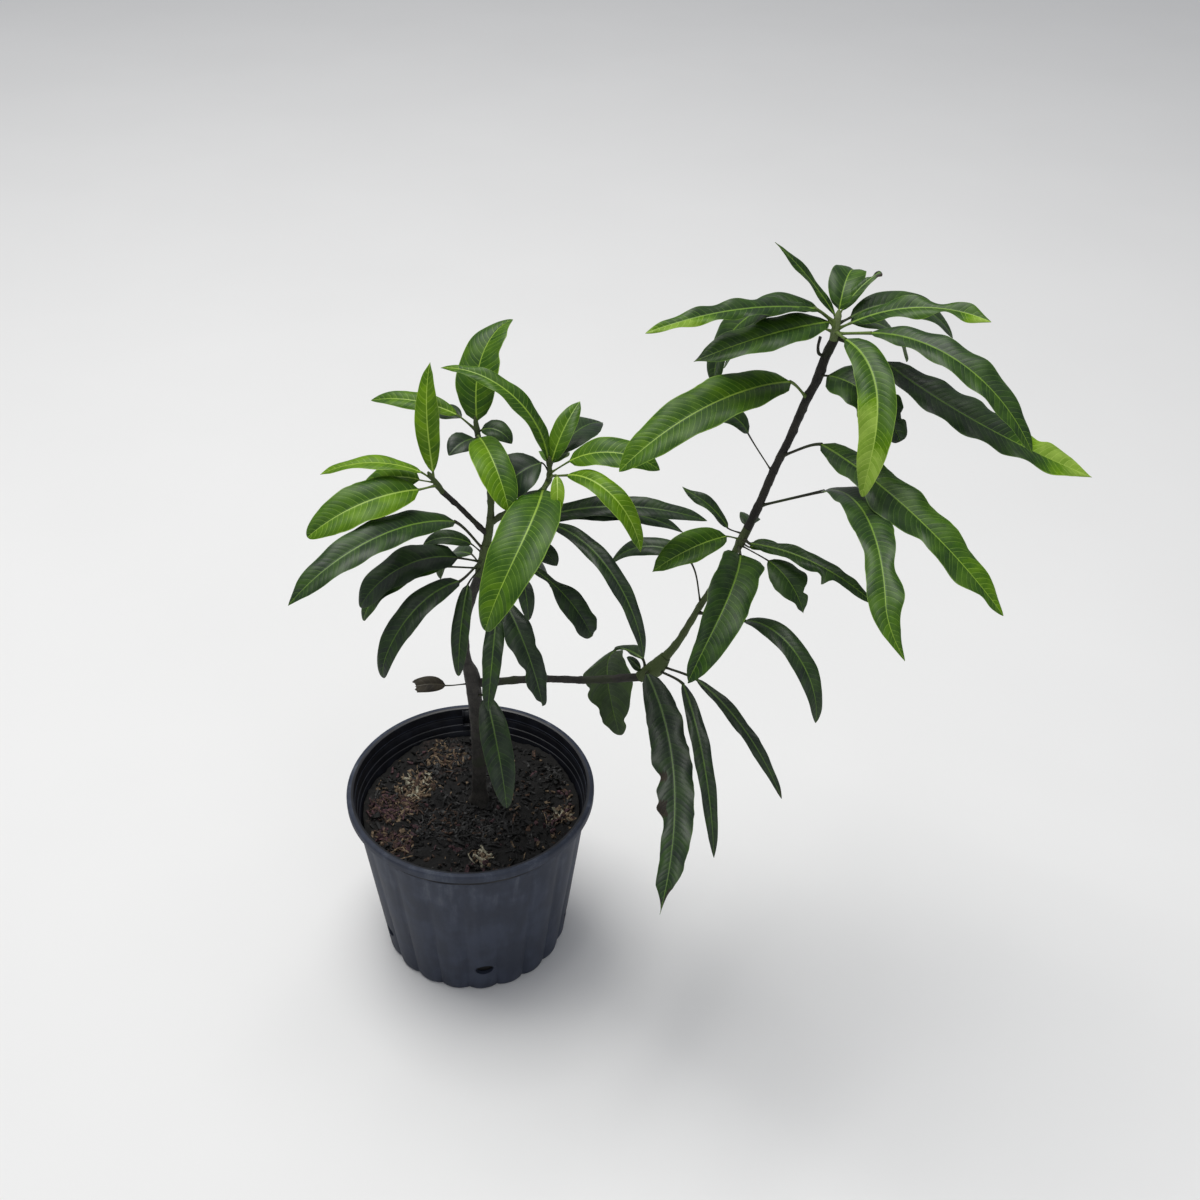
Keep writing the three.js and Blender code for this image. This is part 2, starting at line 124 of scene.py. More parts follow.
# %% Wires and finishes
class Wire:
    """A socket of a material. Its operators add Math nodes."""

    def __init__(self, finish, socket):
        self.finish = finish
        self.socket = socket

    def maths(self, operation, left, right):
        """Adds a Math node, and gives its output."""
        return self.finish.node("ShaderNodeMath", {"operation": operation}, {0: left, 1: right})

    def __add__(self, other):
        return self.maths("ADD", self, other)

    def __sub__(self, other):
        return self.maths("SUBTRACT", self, other)

    def __rsub__(self, other):
        return self.maths("SUBTRACT", other, self)

    def __mul__(self, other):
        return self.maths("MULTIPLY", self, other)

    __radd__ = __add__
    __rmul__ = __mul__

    def between(self, low, high):
        """0 up to low, 1 from high, and a smooth slope between them."""
        settings = {"interpolation_type": "SMOOTHSTEP"}
        return self.finish.node("ShaderNodeMapRange", settings, {0: self, 1: low, 2: high})


MIX_SHARE, MIX_FIRST, MIX_SECOND, MIX_COLOUR = 0, 6, 7, 2  # the Mix node's sockets for colours


class Finish:
    """A node material in the making."""

    def __init__(self, name):
        self.material = bpy.data.materials.new(name)
        self.material.use_nodes = True
        self.shader = self.material.node_tree.nodes["Principled BSDF"]

    def node(self, kind, settings, inputs, output=0):
        """Adds any node: its settings first, and then the values or wires of its sockets."""
        made = self.material.node_tree.nodes.new(kind)
        for key, value in settings.items():
            setattr(made, key, value)
        for key, value in inputs.items():
            self.plug(made.inputs[key], value)
        return Wire(self, made.outputs[output])

    def plug(self, socket, value):
        """Links a wire to a socket, or sets the socket's own number or colour."""
        if isinstance(value, Wire):
            self.material.node_tree.links.new(value.socket, socket)
        elif isinstance(value, tuple) and socket.type == "RGBA":
            socket.default_value = (*value, 1.0)
        else:
            socket.default_value = value

    def place(self):
        """Where a point of the piece lies, in metres."""
        return self.node("ShaderNodeTexCoord", {}, {}, output="Object")

    def noise(self, size, stretch=(1.0, 1.0, 1.0), detail=3.0):
        """Clouds of about this size, in metres, drawn out along an axis by its stretch."""
        scale = tuple(1.0 / (size * s) for s in stretch)
        laid = self.node("ShaderNodeMapping", {}, {"Vector": self.place(), "Scale": scale})
        return self.node("ShaderNodeTexNoise", {}, {"Vector": laid, "Scale": 1.0, "Detail": detail})

    def blend(self, share, first, second):
        """The first colour where the share is 0, and the second where it is 1."""
        inputs = {MIX_SHARE: share, MIX_FIRST: first, MIX_SECOND: second}
        return self.node("ShaderNodeMix", {"data_type": "RGBA"}, inputs, MIX_COLOUR)

    def bump(self, height, distance, strength=1.0):
        """The normal of a surface raised by a pattern, up to a distance in metres."""
        inputs = {"Height": height, "Distance": distance, "Strength": strength}
        return self.node("ShaderNodeBump", {}, inputs)

    def done(self, **sockets):
        """Plugs the shader's sockets, named with _ for a space, and gives the material."""
        for key, value in sockets.items():
            self.plug(self.shader.inputs[key.replace("_", " ")], value)
        return self.material


print("one noise node gives its pattern from 0 to 1, and a wire can scale and mix it")

# %% [markdown]
# ## Floor
# A plain pale floor takes the plant's soft shadow, so that the pot stands on something.

# %% Lay the floor
FLOOR_HALF = 6.0  # half its side, in metres
floor_mesh = bpy.data.meshes.new("floor")
floor_corners = [(x * FLOOR_HALF, y * FLOOR_HALF, 0) for x, y in ((-1, -1), (1, -1), (1, 1), (-1, 1))]
floor_mesh.from_pydata(floor_corners, [], [(0, 1, 2, 3)])
floor = bpy.data.objects.new("floor", floor_mesh)
bpy.context.scene.collection.objects.link(floor)
paper = Finish("pale_paper")
paper_colour = paper.blend(paper.noise(0.4), (0.80, 0.80, 0.80), (0.84, 0.84, 0.84))
floor_mesh.materials.append(paper.done(Base_Color=paper_colour, Roughness=0.9))
print("floor:", 2 * FLOOR_HALF, "m square")

# %% [markdown]
# ## Meshes from arrays
# A plant has thousands of small faces that follow a rule, so each mesh is worked out as arrays
# of points and quads. Modifiers could bend a flat leaf, but each leaf has its own bend and the
# veins have to run along the edges of its faces. The shell below gathers the quads of one
# piece, each with its own corner on the texture map and its material.

# %% The shell
UV_MAP = "OFBake"


class Shell:
    """Gathers quads into one mesh. Points are in millimetres."""

    def __init__(self):
        self.points = []
        self.quads = []
        self.corners = []
        self.numbers = []
        self.materials = []
        self.count = 0

    def material(self, made):
        """The number of a material in this piece."""
        if made not in self.materials:
            self.materials.append(made)
        return self.materials.index(made)

    def put(self, points, quads, corners, material):
        """Adds quads, given by the places of their points in the list that comes with them."""
        quads = np.asarray(quads)
        self.points.append(points.reshape(-1, 3))
        self.quads.append(quads + self.count)
        self.corners.append(corners)
        self.count += points.size // 3
        number = self.material(material) if isinstance(material, bpy.types.Material) else material
        self.numbers.append(np.broadcast_to(number, len(quads)))

    def mesh(self, name):
        """A plain mesh of the quads, in metres."""
        made = bpy.data.meshes.new(name)
        points = np.concatenate(self.points) * MM
        made.from_pydata(points.tolist(), [], np.concatenate(self.quads).tolist())
        return made

    def piece(self, name, slot, replaced, sharp=None):
        """Makes the object, lets it ride on the plant's body and stand for its nodes."""
        mesh = self.mesh(name)
        layer = mesh.uv_layers.new(name=UV_MAP)
        layer.data.foreach_set("uv", np.concatenate(self.corners).astype(np.float32).ravel())
        for made in self.materials:
            mesh.materials.append(made)
        mesh.polygons.foreach_set("material_index", np.concatenate(self.numbers).astype(np.int32))
        mesh.polygons.foreach_set("use_smooth", np.ones(len(mesh.polygons), bool))
        if sharp:
            mesh.set_sharp_from_angle(angle=math.radians(sharp))
        mesh.update()
        made = bpy.data.objects.new(name, mesh)
        bpy.context.scene.collection.objects.link(made)
        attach(made, "root")
        if replaced:
            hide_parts(*replaced)
        print(name, len(mesh.polygons), "faces")
        return made


def lattice(rows, columns, closed=False):
    """The quads between rows of points, with the last column joined to the first if closed."""
    across = columns if closed else columns - 1
    row, column = np.meshgrid(np.arange(rows - 1), np.arange(across), indexing="ij")
    after = (column + 1) % columns
    first = row * columns
    second = first + columns
    return np.stack([first + column, first + after, second + after, second + column], -1).reshape(-1, 4)


def spread(u, v):
    """The map corners of a lattice whose points lie at (u, v), given as two tables."""
    place = np.stack([u, v], -1)
    return np.stack([place[:-1, :-1], place[:-1, 1:], place[1:, 1:], place[1:, :-1]], 2).reshape(-1, 4, 2)


print("a lattice of 3 rows of 3 points has", len(lattice(3, 3)), "quads")

# %% [markdown]
# ## Uneven surfaces
# Bark, soil and leaf margins are uneven in a way that never repeats. A table of random numbers
# with smooth steps between them gives that, the same on every run because it is seeded.

# %% Grain
GRAIN_CELLS = 256


def grain(x, y, seed, period=GRAIN_CELLS):
    """Smooth noise from -1 to 1 with cells of size 1, which closes on itself in x."""
    table = np.random.default_rng(seed).uniform(-1, 1, (GRAIN_CELLS, GRAIN_CELLS))
    x, y = np.broadcast_arrays(np.asarray(x, float), np.asarray(y, float))
    column, row = np.floor(x).astype(int), np.floor(y).astype(int)
    s, t = x - column, y - row
    s, t = s * s * (3 - 2 * s), t * t * (3 - 2 * t)
    left, right = column % period, (column + 1) % period
    low, high = row % GRAIN_CELLS, (row + 1) % GRAIN_CELLS
    bottom = table[left, low] * (1 - s) + table[right, low] * s
    top = table[left, high] * (1 - s) + table[right, high] * s
    return bottom * (1 - t) + top * t


print("grain runs from -1 to 1, here", np.round(grain([0.5, 1.5], 0.5, 1), 2))

# %% [markdown]
# ## Curves and tubes
# Trunk, boughs, leaf stalks and bark strands are all tubes along a curve. Blender's own curves
# could be bevelled, but arrays give each ring its place, so that relief can be added to it and
# its map laid out before the mesh is made.


# %% Curves and tubes
def hermite(t, start, end, leave, arrive):
    """A cubic from start to end, which sets out along one direction and arrives along another."""
    return (
        (2 * t**3 - 3 * t**2 + 1) * start + (t**3 - 2 * t**2 + t) * leave
        + (3 * t**2 - 2 * t**3) * end + (t**3 - t**2) * arrive
    )


def smooth_path(table, step):
    """A centripetal Catmull-Rom curve through rows of [x, y, z, radius], with points a step apart."""
    rows = np.asarray(table, float)
    rows = np.vstack([2 * rows[0] - rows[1], rows, 2 * rows[-1] - rows[-2]])
    pieces = []
    for before, start, end, after in zip(rows, rows[1:], rows[2:], rows[3:]):
        pairs = ((before, start), (start, end), (end, after))
        first, gap, last = (np.linalg.norm((b - a)[:3]) ** 0.5 for a, b in pairs)
        leave = (start - before) / first - (end - before) / (first + gap) + (end - start) / gap
        arrive = (end - start) / gap - (after - start) / (gap + last) + (after - end) / last
        t = np.linspace(0, 1, max(2, round(gap**2 / step)), endpoint=False)[:, None]
        pieces.append(hermite(t, start, end, leave * gap, arrive * gap))
    return np.vstack([*pieces, rows[-2][None]])


def unit(vectors):
    """The vectors, each brought to length 1."""
    return vectors / np.linalg.norm(vectors, axis=-1, keepdims=True)


def walked(line):
    """How far along a line each of its points lies."""
    return np.r_[0, np.cumsum(np.linalg.norm(np.diff(line, axis=0), axis=1))]


def full_turn(sides):
    """Evenly spaced angles round one turn, the first of them 0."""
    return np.arange(sides) / sides * 2 * np.pi


def rings_round(line, radii, sides, relief=None):
    """Rings of points round a line, raised by a relief of (angle, distance from the foot)."""
    along = unit(np.gradient(line, axis=0))
    side = np.cross(along[0], (0.0, 1.0, 0.0) if abs(along[0][1]) < 0.9 else (1.0, 0.0, 0.0))
    across = np.empty_like(line)
    for i, heading in enumerate(along):
        side = unit(side - side @ heading * heading)
        across[i] = side
    up = np.cross(along, across)
    angle = full_turn(sides)
    reach = np.broadcast_to(radii[:, None], (len(line), sides))
    if relief:
        reach = reach + relief(angle[None], walked(line)[:, None])
    spokes = np.cos(angle)[None, :, None] * across[:, None] + np.sin(angle)[None, :, None] * up[:, None]
    return line[:, None] + reach[..., None] * spokes


CAP_BAND = 0.05  # the share of a tube's map that is kept for its two ends
CAP_RADIUS = CAP_BAND * 0.4


def cap_quads(sides):
    """The quads that close a ring, as strips from one side of it to the other."""
    strip = np.arange(sides // 2 - 1)
    return np.stack([strip, strip + 1, sides - 2 - strip, sides - 1 - strip], -1)


def put_tube(shell, rings, material, window=(0.0, 0.0, 1.0, 1.0)):
    """Adds a tube with flat ends, its map inside a window (left, low, right, high)."""
    count, sides = rings.shape[:2]
    left, low, right, high = window
    width, height = right - left, high - low
    u = left + np.broadcast_to(np.arange(sides + 1) / sides, (count, sides + 1)) * width
    v = low + (CAP_BAND + (1 - CAP_BAND) * np.arange(count) / (count - 1))[:, None] * height
    quads = lattice(count, sides, closed=True)
    shell.put(rings, quads, spread(u, np.broadcast_to(v, u.shape)), material)
    cap = cap_quads(sides)
    turn = full_turn(sides)
    for ring, faces, centre in ((rings[0], cap[:, ::-1], 0.25), (rings[-1], cap, 0.75)):
        across = left + (centre + CAP_RADIUS * np.cos(turn)) * width
        upward = low + (CAP_BAND / 2 + CAP_RADIUS * np.sin(turn)) * height
        shell.put(ring, faces, np.stack([across, upward], -1)[faces], material)


print("quads that close a ring of 12 points:", len(cap_quads(12)))

# %% [markdown]
# ## Bark
# Young mango bark is thin and smooth, grey-brown with fine lengthwise creases, and olive where
# it is new. The creases and the scars of fallen leaves are real relief in the mesh. The colour
# is two browns clouded together, with patches of olive. Leaf stalks share the recipe.


# %% Bark finishes
def bark_finish(name, dark, pale, green, green_share):
    """Two clouded browns, with green over a share of them."""
    finish = Finish(name)
    clouds = finish.noise(0.012, detail=4.0)
    flecks = finish.noise(0.0016, detail=3.0)
    brown = finish.blend((clouds * 0.55 + flecks * 0.45).between(0.36, 0.66), dark, pale)
    patches = finish.noise(0.03, detail=2.0).between(0.62 - green_share, 0.72 - green_share * 0.4)
    colour = finish.blend(patches, brown, green)
    return finish.done(
        Base_Color=colour,
        Roughness=0.62 + flecks * 0.25,
        Normal=finish.bump(flecks + clouds * 0.6, 0.0006, 0.7),
    )


BARKS = {  # dark, pale and green, and the share that is green
    "trunk_bark": ((0.014, 0.013, 0.011), (0.055, 0.050, 0.043), (0.032, 0.036, 0.022), 0.05),
    "bough_bark": ((0.008, 0.007, 0.006), (0.030, 0.026, 0.020), (0.022, 0.028, 0.010), 0.06),
    "green_bark": ((0.028, 0.032, 0.012), (0.076, 0.094, 0.034), (0.060, 0.090, 0.022), 0.35),
    "tip_bark": ((0.110, 0.140, 0.060), (0.230, 0.275, 0.140), (0.150, 0.200, 0.070), 0.3),
    "green_stalk": ((0.055, 0.090, 0.014), (0.100, 0.150, 0.028), (0.120, 0.180, 0.038), 0.3),
    "dark_stalk": ((0.017, 0.017, 0.009), (0.042, 0.042, 0.021), (0.034, 0.048, 0.014), 0.2),
}
made_barks = [bark_finish(name, *look) for name, look in BARKS.items()]
TRUNK_BARK, BOUGH_BARK, GREEN_BARK, TIP_BARK, STALK_GREEN, STALK_DARK = made_barks
print("bark finishes:", ", ".join(BARKS))

# %% [markdown]
# ## Trunk and boughs
# Each limb is one tapering tube along the same few points as its node: a curve through the
# points, so that it bends as evenly as wood grows. The rings are about a millimetre apart,
# close enough for the creases to be modelled and not painted.

# %% Points of the limbs
LIMBS = {  # [x, y, z, radius] from the foot to the tip
    "trunk": [
        [8, 14, 190.5, 12], [8, 13, 202, 9], [9, 12, 286, 7.6], [7, 10, 352, 7.8], [5, 10, 380, 8.4],
        [0, 8, 404, 5.6], [-1, 5, 431, 5], [2, 2, 466, 4.9], [10, 0, 499, 4.9], [18, 0, 523, 5.2],
    ],
    "middle_shoot": [
        [26, 0, 562, 4.6], [30, 2, 587, 3.8], [31, 6, 616, 3.2], [28, 10, 648, 2.9], [21, 13, 670, 2.8],
    ],
    "left_shoot": [[26, 0, 575, 3], [11, -3, 595, 2.4], [-3, -6, 614, 2.5], [-14, -9, 628, 2.9]],
    "right_shoot": [[30, 2, 585, 3.2], [40, 0, 595, 3], [47, -2, 601, 3]],
    "right_shoot_end": [[61, -8, 615, 2.8], [76, -16, 631, 2.6], [85, -22, 644, 2.8]],
    "low_bough": [
        [9, 10, 371, 4.8], [35, 8, 376, 4.2], [79, 2, 386, 3.9], [133, -5, 392, 3.9], [185, -12, 404, 4.6],
    ],
    "rising_bough": [
        [211, -14, 434, 4.8], [223, -11, 452, 3.8], [246, -5, 500, 3.3], [264, -1, 534, 3.2],
        [276, 2, 560, 3.6],
    ],
    "long_bough": [
        [286, 5, 586, 4.6], [294, 8, 608, 4.2], [305, 10, 646, 3.9], [319, 13, 687, 3.9],
        [330, 15, 724, 4], [339, 17, 749, 4.3], [344, 18, 771, 4.4], [350, 19, 788, 4.4],
    ],
    "bare_stalk": [[344, 18, 771, 1.6], [337, 14, 776, 1.4], [335, 12, 784, 1.3], [336, 12, 794, 1.4]],
}
STEMS = {  # the stem inside each mass of leaves
    "leaves_at_fork": [[18, 0, 523, 5.2], [23, 0, 545, 5.2], [26, 0, 562, 4.8]],
    "leaves_middle_shoot": [[21, 13, 670, 2.8], [18, 15, 690, 2.2]],
    "leaves_left_shoot": [[-14, -9, 628, 2.9], [-23, -11, 645, 2.2]],
    "leaves_right_shoot": [[47, -2, 601, 3], [61, -8, 615, 2.9]],
    "leaves_right_shoot_end": [[85, -22, 644, 2.8], [90, -25, 658, 2.7], [90, -26, 674, 2]],
    "leaves_at_knuckle": [[185, -12, 404, 6], [201, -14, 418, 9], [211, -14, 434, 6]],
    "leaves_mid_bough": [[276, 2, 560, 3.8], [286, 5, 586, 4.6]],
    "leaves_bough_end": [[350, 19, 788, 4.4], [351, 20, 809, 3]],
}
print("limbs:", len(LIMBS), "stems inside leaves:", len(STEMS))

# %% Relief of the bark
CREASE, CREASE_LENGTH = 0.32, 11  # height and length of the lengthwise creases
PIMPLE, PIMPLE_LENGTH = 0.14, 1.8
SCAR, SCAR_LENGTH, SCAR_TURN = 0.6, 1.7, 0.55  # of a leaf scar: height, and reach along and round
SCAR_STRAY = 4  # how far a scar may stand from its even place
LIP, LIP_DROP, LIP_NARROW = 0.18, 1.4, 3  # the ring below a scar, and how many scar lengths below
NODE, NODE_SPREAD = 0.28, 2.6  # how far the limb swells there, and over how many scar lengths
FLARE_REACH, FLARE_LOBES, FLARE_TURN = 7, 3, 0.8  # over what height the root flare fades, its lobes


def bark_relief(seed, radius, length, scars, flare):
    """Creases, pimples, scars every so often, and the lobes of a root flare."""
    rng = np.random.default_rng(seed)
    places = np.linspace(0, length, scars + 2)[1:-1] + rng.uniform(-SCAR_STRAY, SCAR_STRAY, scars)
    turns = rng.uniform(0, 2 * np.pi, scars)
    ridges = max(6, round(2 * radius))
    pimples = 4 * ridges

    def relief(angle, distance):
        """How far the bark stands up at an angle and a distance from the foot."""
        turn = angle / (2 * np.pi)
        height = CREASE * grain(turn * ridges, distance / CREASE_LENGTH, seed, ridges)
        height = height + PIMPLE * grain(turn * pimples, distance / PIMPLE_LENGTH, seed + 1, pimples)
        for place, bearing in zip(places, turns):
            off = (angle - bearing + np.pi) % (2 * np.pi) - np.pi
            along = (distance - place) / SCAR_LENGTH
            height = height + SCAR * np.exp(-(along**2) - (off / SCAR_TURN) ** 2)
            height = height + LIP * np.exp(-((along + LIP_DROP) ** 2) * LIP_NARROW)
            height = height + NODE * np.exp(-((along / NODE_SPREAD) ** 2))
        lobes = np.cos(FLARE_LOBES * angle + FLARE_TURN)
        return height + flare * np.exp(-distance / FLARE_REACH) * lobes

    return relief


print("a leaf scar stands", SCAR, "mm high")

# %% Trunk, shoots and boughs
RING_STEP = 1.1
LIMB_SIDES = 40
LIMB_SEED = 10
LIMB_LOOKS = {  # bark, number of leaf scars, flare
    "trunk": (TRUNK_BARK, 9, 1.4),
    "middle_shoot": (GREEN_BARK, 6, 0),
    "left_shoot": (BOUGH_BARK, 4, 0),
    "right_shoot": (GREEN_BARK, 1, 0),
    "right_shoot_end": (GREEN_BARK, 2, 0),
    "low_bough": (BOUGH_BARK, 8, 0),
    "rising_bough": (GREEN_BARK, 7, 0),
    "long_bough": (BOUGH_BARK, 14, 0),
    "bare_stalk": (BOUGH_BARK, 0, 0),
}


def limb_rings(table, seed, scars, flare=0.0):
    """The rings of a limb, through its points and with the relief of its bark."""
    path = smooth_path(table, RING_STEP)
    line, radii = path[:, :3], path[:, 3]
    relief = bark_relief(seed, radii.mean(), walked(line)[-1], scars, flare)
    return rings_round(line, radii, LIMB_SIDES, relief)


for number, (name, table) in enumerate(LIMBS.items()):
    bark, scars, flare = LIMB_LOOKS[name]
    limb = Shell()
    put_tube(limb, limb_rings(table, LIMB_SEED + number, scars, flare), bark)
    limb.piece(name + "_bark", "bark", [name])

# %% [markdown]
# ## Leaf finishes
# A mango leaf darkens as it ages: tender yellow-green, then fresh, then a ripe mid green, and at
# last a dull bluish green. A tip that the sun has bleached is paler than any of them. Five
# finishes would show as five flat groups, so the colours are a ladder of steps mixed between
# them. A blade may climb some steps towards its tip, and its panels differ a little. Each step
# has a finish for the upper face, one for the paler underside and one for the veins.


# %% Upper faces, undersides and veins
def blade_finish(name, dark, light, roughness, sheen):
    """Leathery skin of two clouded greens, with a fine grain."""
    finish = Finish(name)
    clouds = finish.noise(0.018, detail=3.0)
    fine = finish.noise(0.0011, detail=3.0)
    colour = finish.blend((clouds * 0.8 + fine * 0.2).between(0.36, 0.64), dark, light)
    return finish.done(
        Base_Color=colour,
        Roughness=roughness + clouds * 0.10 + fine * 0.06,
        Normal=finish.bump(fine, 0.0002, 0.3),
        Specular_IOR_Level=sheen,
    )


def vein_finish(name, colour, pale):
    """A vein, clouded between its colour and a paler one."""
    finish = Finish(name)
    shade = finish.blend(finish.noise(0.004), colour, pale)
    return finish.done(Base_Color=shade, Roughness=0.42, Specular_IOR_Level=0.3)


LADDER = [  # (upper dark, light), (underside dark, light), (vein, paler vein), from old to bleached
    [(0.007, 0.018, 0.008), (0.020, 0.038, 0.016), (0.030, 0.046, 0.026), (0.048, 0.070, 0.040),
     (0.030, 0.052, 0.022), (0.050, 0.084, 0.034)],
    [(0.010, 0.035, 0.003), (0.028, 0.072, 0.006), (0.040, 0.076, 0.018), (0.062, 0.106, 0.028),
     (0.060, 0.122, 0.020), (0.098, 0.176, 0.030)],
    [(0.026, 0.080, 0.002), (0.060, 0.140, 0.004), (0.062, 0.124, 0.014), (0.092, 0.165, 0.023),
     (0.135, 0.245, 0.022), (0.190, 0.320, 0.036)],
    [(0.078, 0.175, 0.002), (0.136, 0.262, 0.005), (0.108, 0.200, 0.020), (0.152, 0.255, 0.034),
     (0.235, 0.375, 0.032), (0.310, 0.455, 0.054)],
    [(0.185, 0.300, 0.038), (0.265, 0.400, 0.062), (0.190, 0.290, 0.050), (0.245, 0.360, 0.075),
     (0.310, 0.450, 0.075), (0.380, 0.520, 0.105)],
]
WITHERED = [(0.014, 0.011, 0.008), (0.038, 0.031, 0.019), (0.024, 0.020, 0.013), (0.042, 0.036, 0.022),
            (0.042, 0.036, 0.022), (0.062, 0.054, 0.035)]
STEPS_PER_AGE = 3
TOP_STEP = (len(LADDER) - 1) * STEPS_PER_AGE
OLD_SHEEN, BLEACHED_SHEEN = 0.38, 0.08
SMOOTH_BLADE, DRY_BLADE = 0.37, 0.6  # roughness
UNDER_ROUGHER, UNDER_SHEEN = 0.18, 0.7  # what an underside adds to it, and its share of the sheen


def finishes(name, colours, roughness, sheen):
    """The finishes of an upper face, an underside and the veins, from a row of the ladder."""
    return (
        blade_finish(name + "_upper", *colours[:2], roughness, sheen),
        blade_finish(name + "_under", *colours[2:4], roughness + UNDER_ROUGHER, sheen * UNDER_SHEEN),
        vein_finish(name + "_veins", *colours[4:]),
    )


def ladder_step(step):
    """The finishes of one step, mixed between the two ages that it lies between."""
    low = min(step // STEPS_PER_AGE, len(LADDER) - 2)
    share = step / STEPS_PER_AGE - low
    mixed = []
    for younger, older in zip(LADDER[low + 1], LADDER[low]):
        mixed.append(tuple(b + (a - b) * share for a, b in zip(younger, older)))
    sheen = OLD_SHEEN + (BLEACHED_SHEEN - OLD_SHEEN) * step / TOP_STEP
    return finishes(f"leaf_step_{step}", mixed, SMOOTH_BLADE, sheen)


AGES = [ladder_step(step) for step in range(TOP_STEP + 1)]
AGES.append(finishes("withered_leaf", WITHERED, DRY_BLADE, 0.3))
BLEACHED, WITHER = 3.8, 99.0  # an age of 0 is old, 1 ripe, 2 fresh and 3 tender
GREEN_STALK_FROM = 1.5  # the age of a leaf from which its stalk is green
print("steps of leaf age:", len(AGES))

# %% [markdown]
# ## The leaves one by one
# A whorl could be scattered by chance, but this plant is known by where its leaves fall, so
# each has a line: how far along its stem it springs, its stalk as [length, bearing, rise], its
# blade as [length, width], the bearing and rise that the blade sets out with and how the bearing
# changes, and the rise that it ends with. Bearings turn from +X towards +Y and rises are above
# the level, in degrees. The lengths are millimetres. Its age and its habits follow.

# %% Habits of a leaf
HABITS = {
    "roll": 0,  # degrees the blade is rolled about its midrib
    "fold": 8,  # degrees each half is lifted
    "belly": 0.45,  # where it is widest, as a share of its length
    "full": 0.62,  # low for sides that stay parallel
    "tip": 0.75,  # low for a blunt tip
    "hook": 0,  # degrees the last fifth bends up
    "swing": 0,  # degrees the last fifth bends sideways
    "cut": 1.0,  # the share of the blade that is left
    "wave": 1.3,  # height of the ruffles in its margin
    "frill": 0.035,  # how uneven its outline is, as a share of its width
    "bites": (),  # (side, centre, span, amount): the margin moved out or in
    "ripen": 0.0,  # how much younger its tip is than its base
    "far": 0.0,  # how much paler its right half is than its left, in steps of age: painted light and shade for the half that catches the light
    "bleach": (),  # (side, start): the half that the sun has bleached from there to the tip
    "scorch": (),  # (side, centre, span): where the margin has dried
}


def leaf(at, stalk, blade, heading, rise, age, **habits):
    """One line of the tables below, with the usual habits where it names no others."""
    line = {"at": at, "stalk": stalk, "blade": blade, "heading": heading, "rise": rise, "age": age}
    return {**line, **HABITS, **habits}


print("habits:", ", ".join(HABITS))

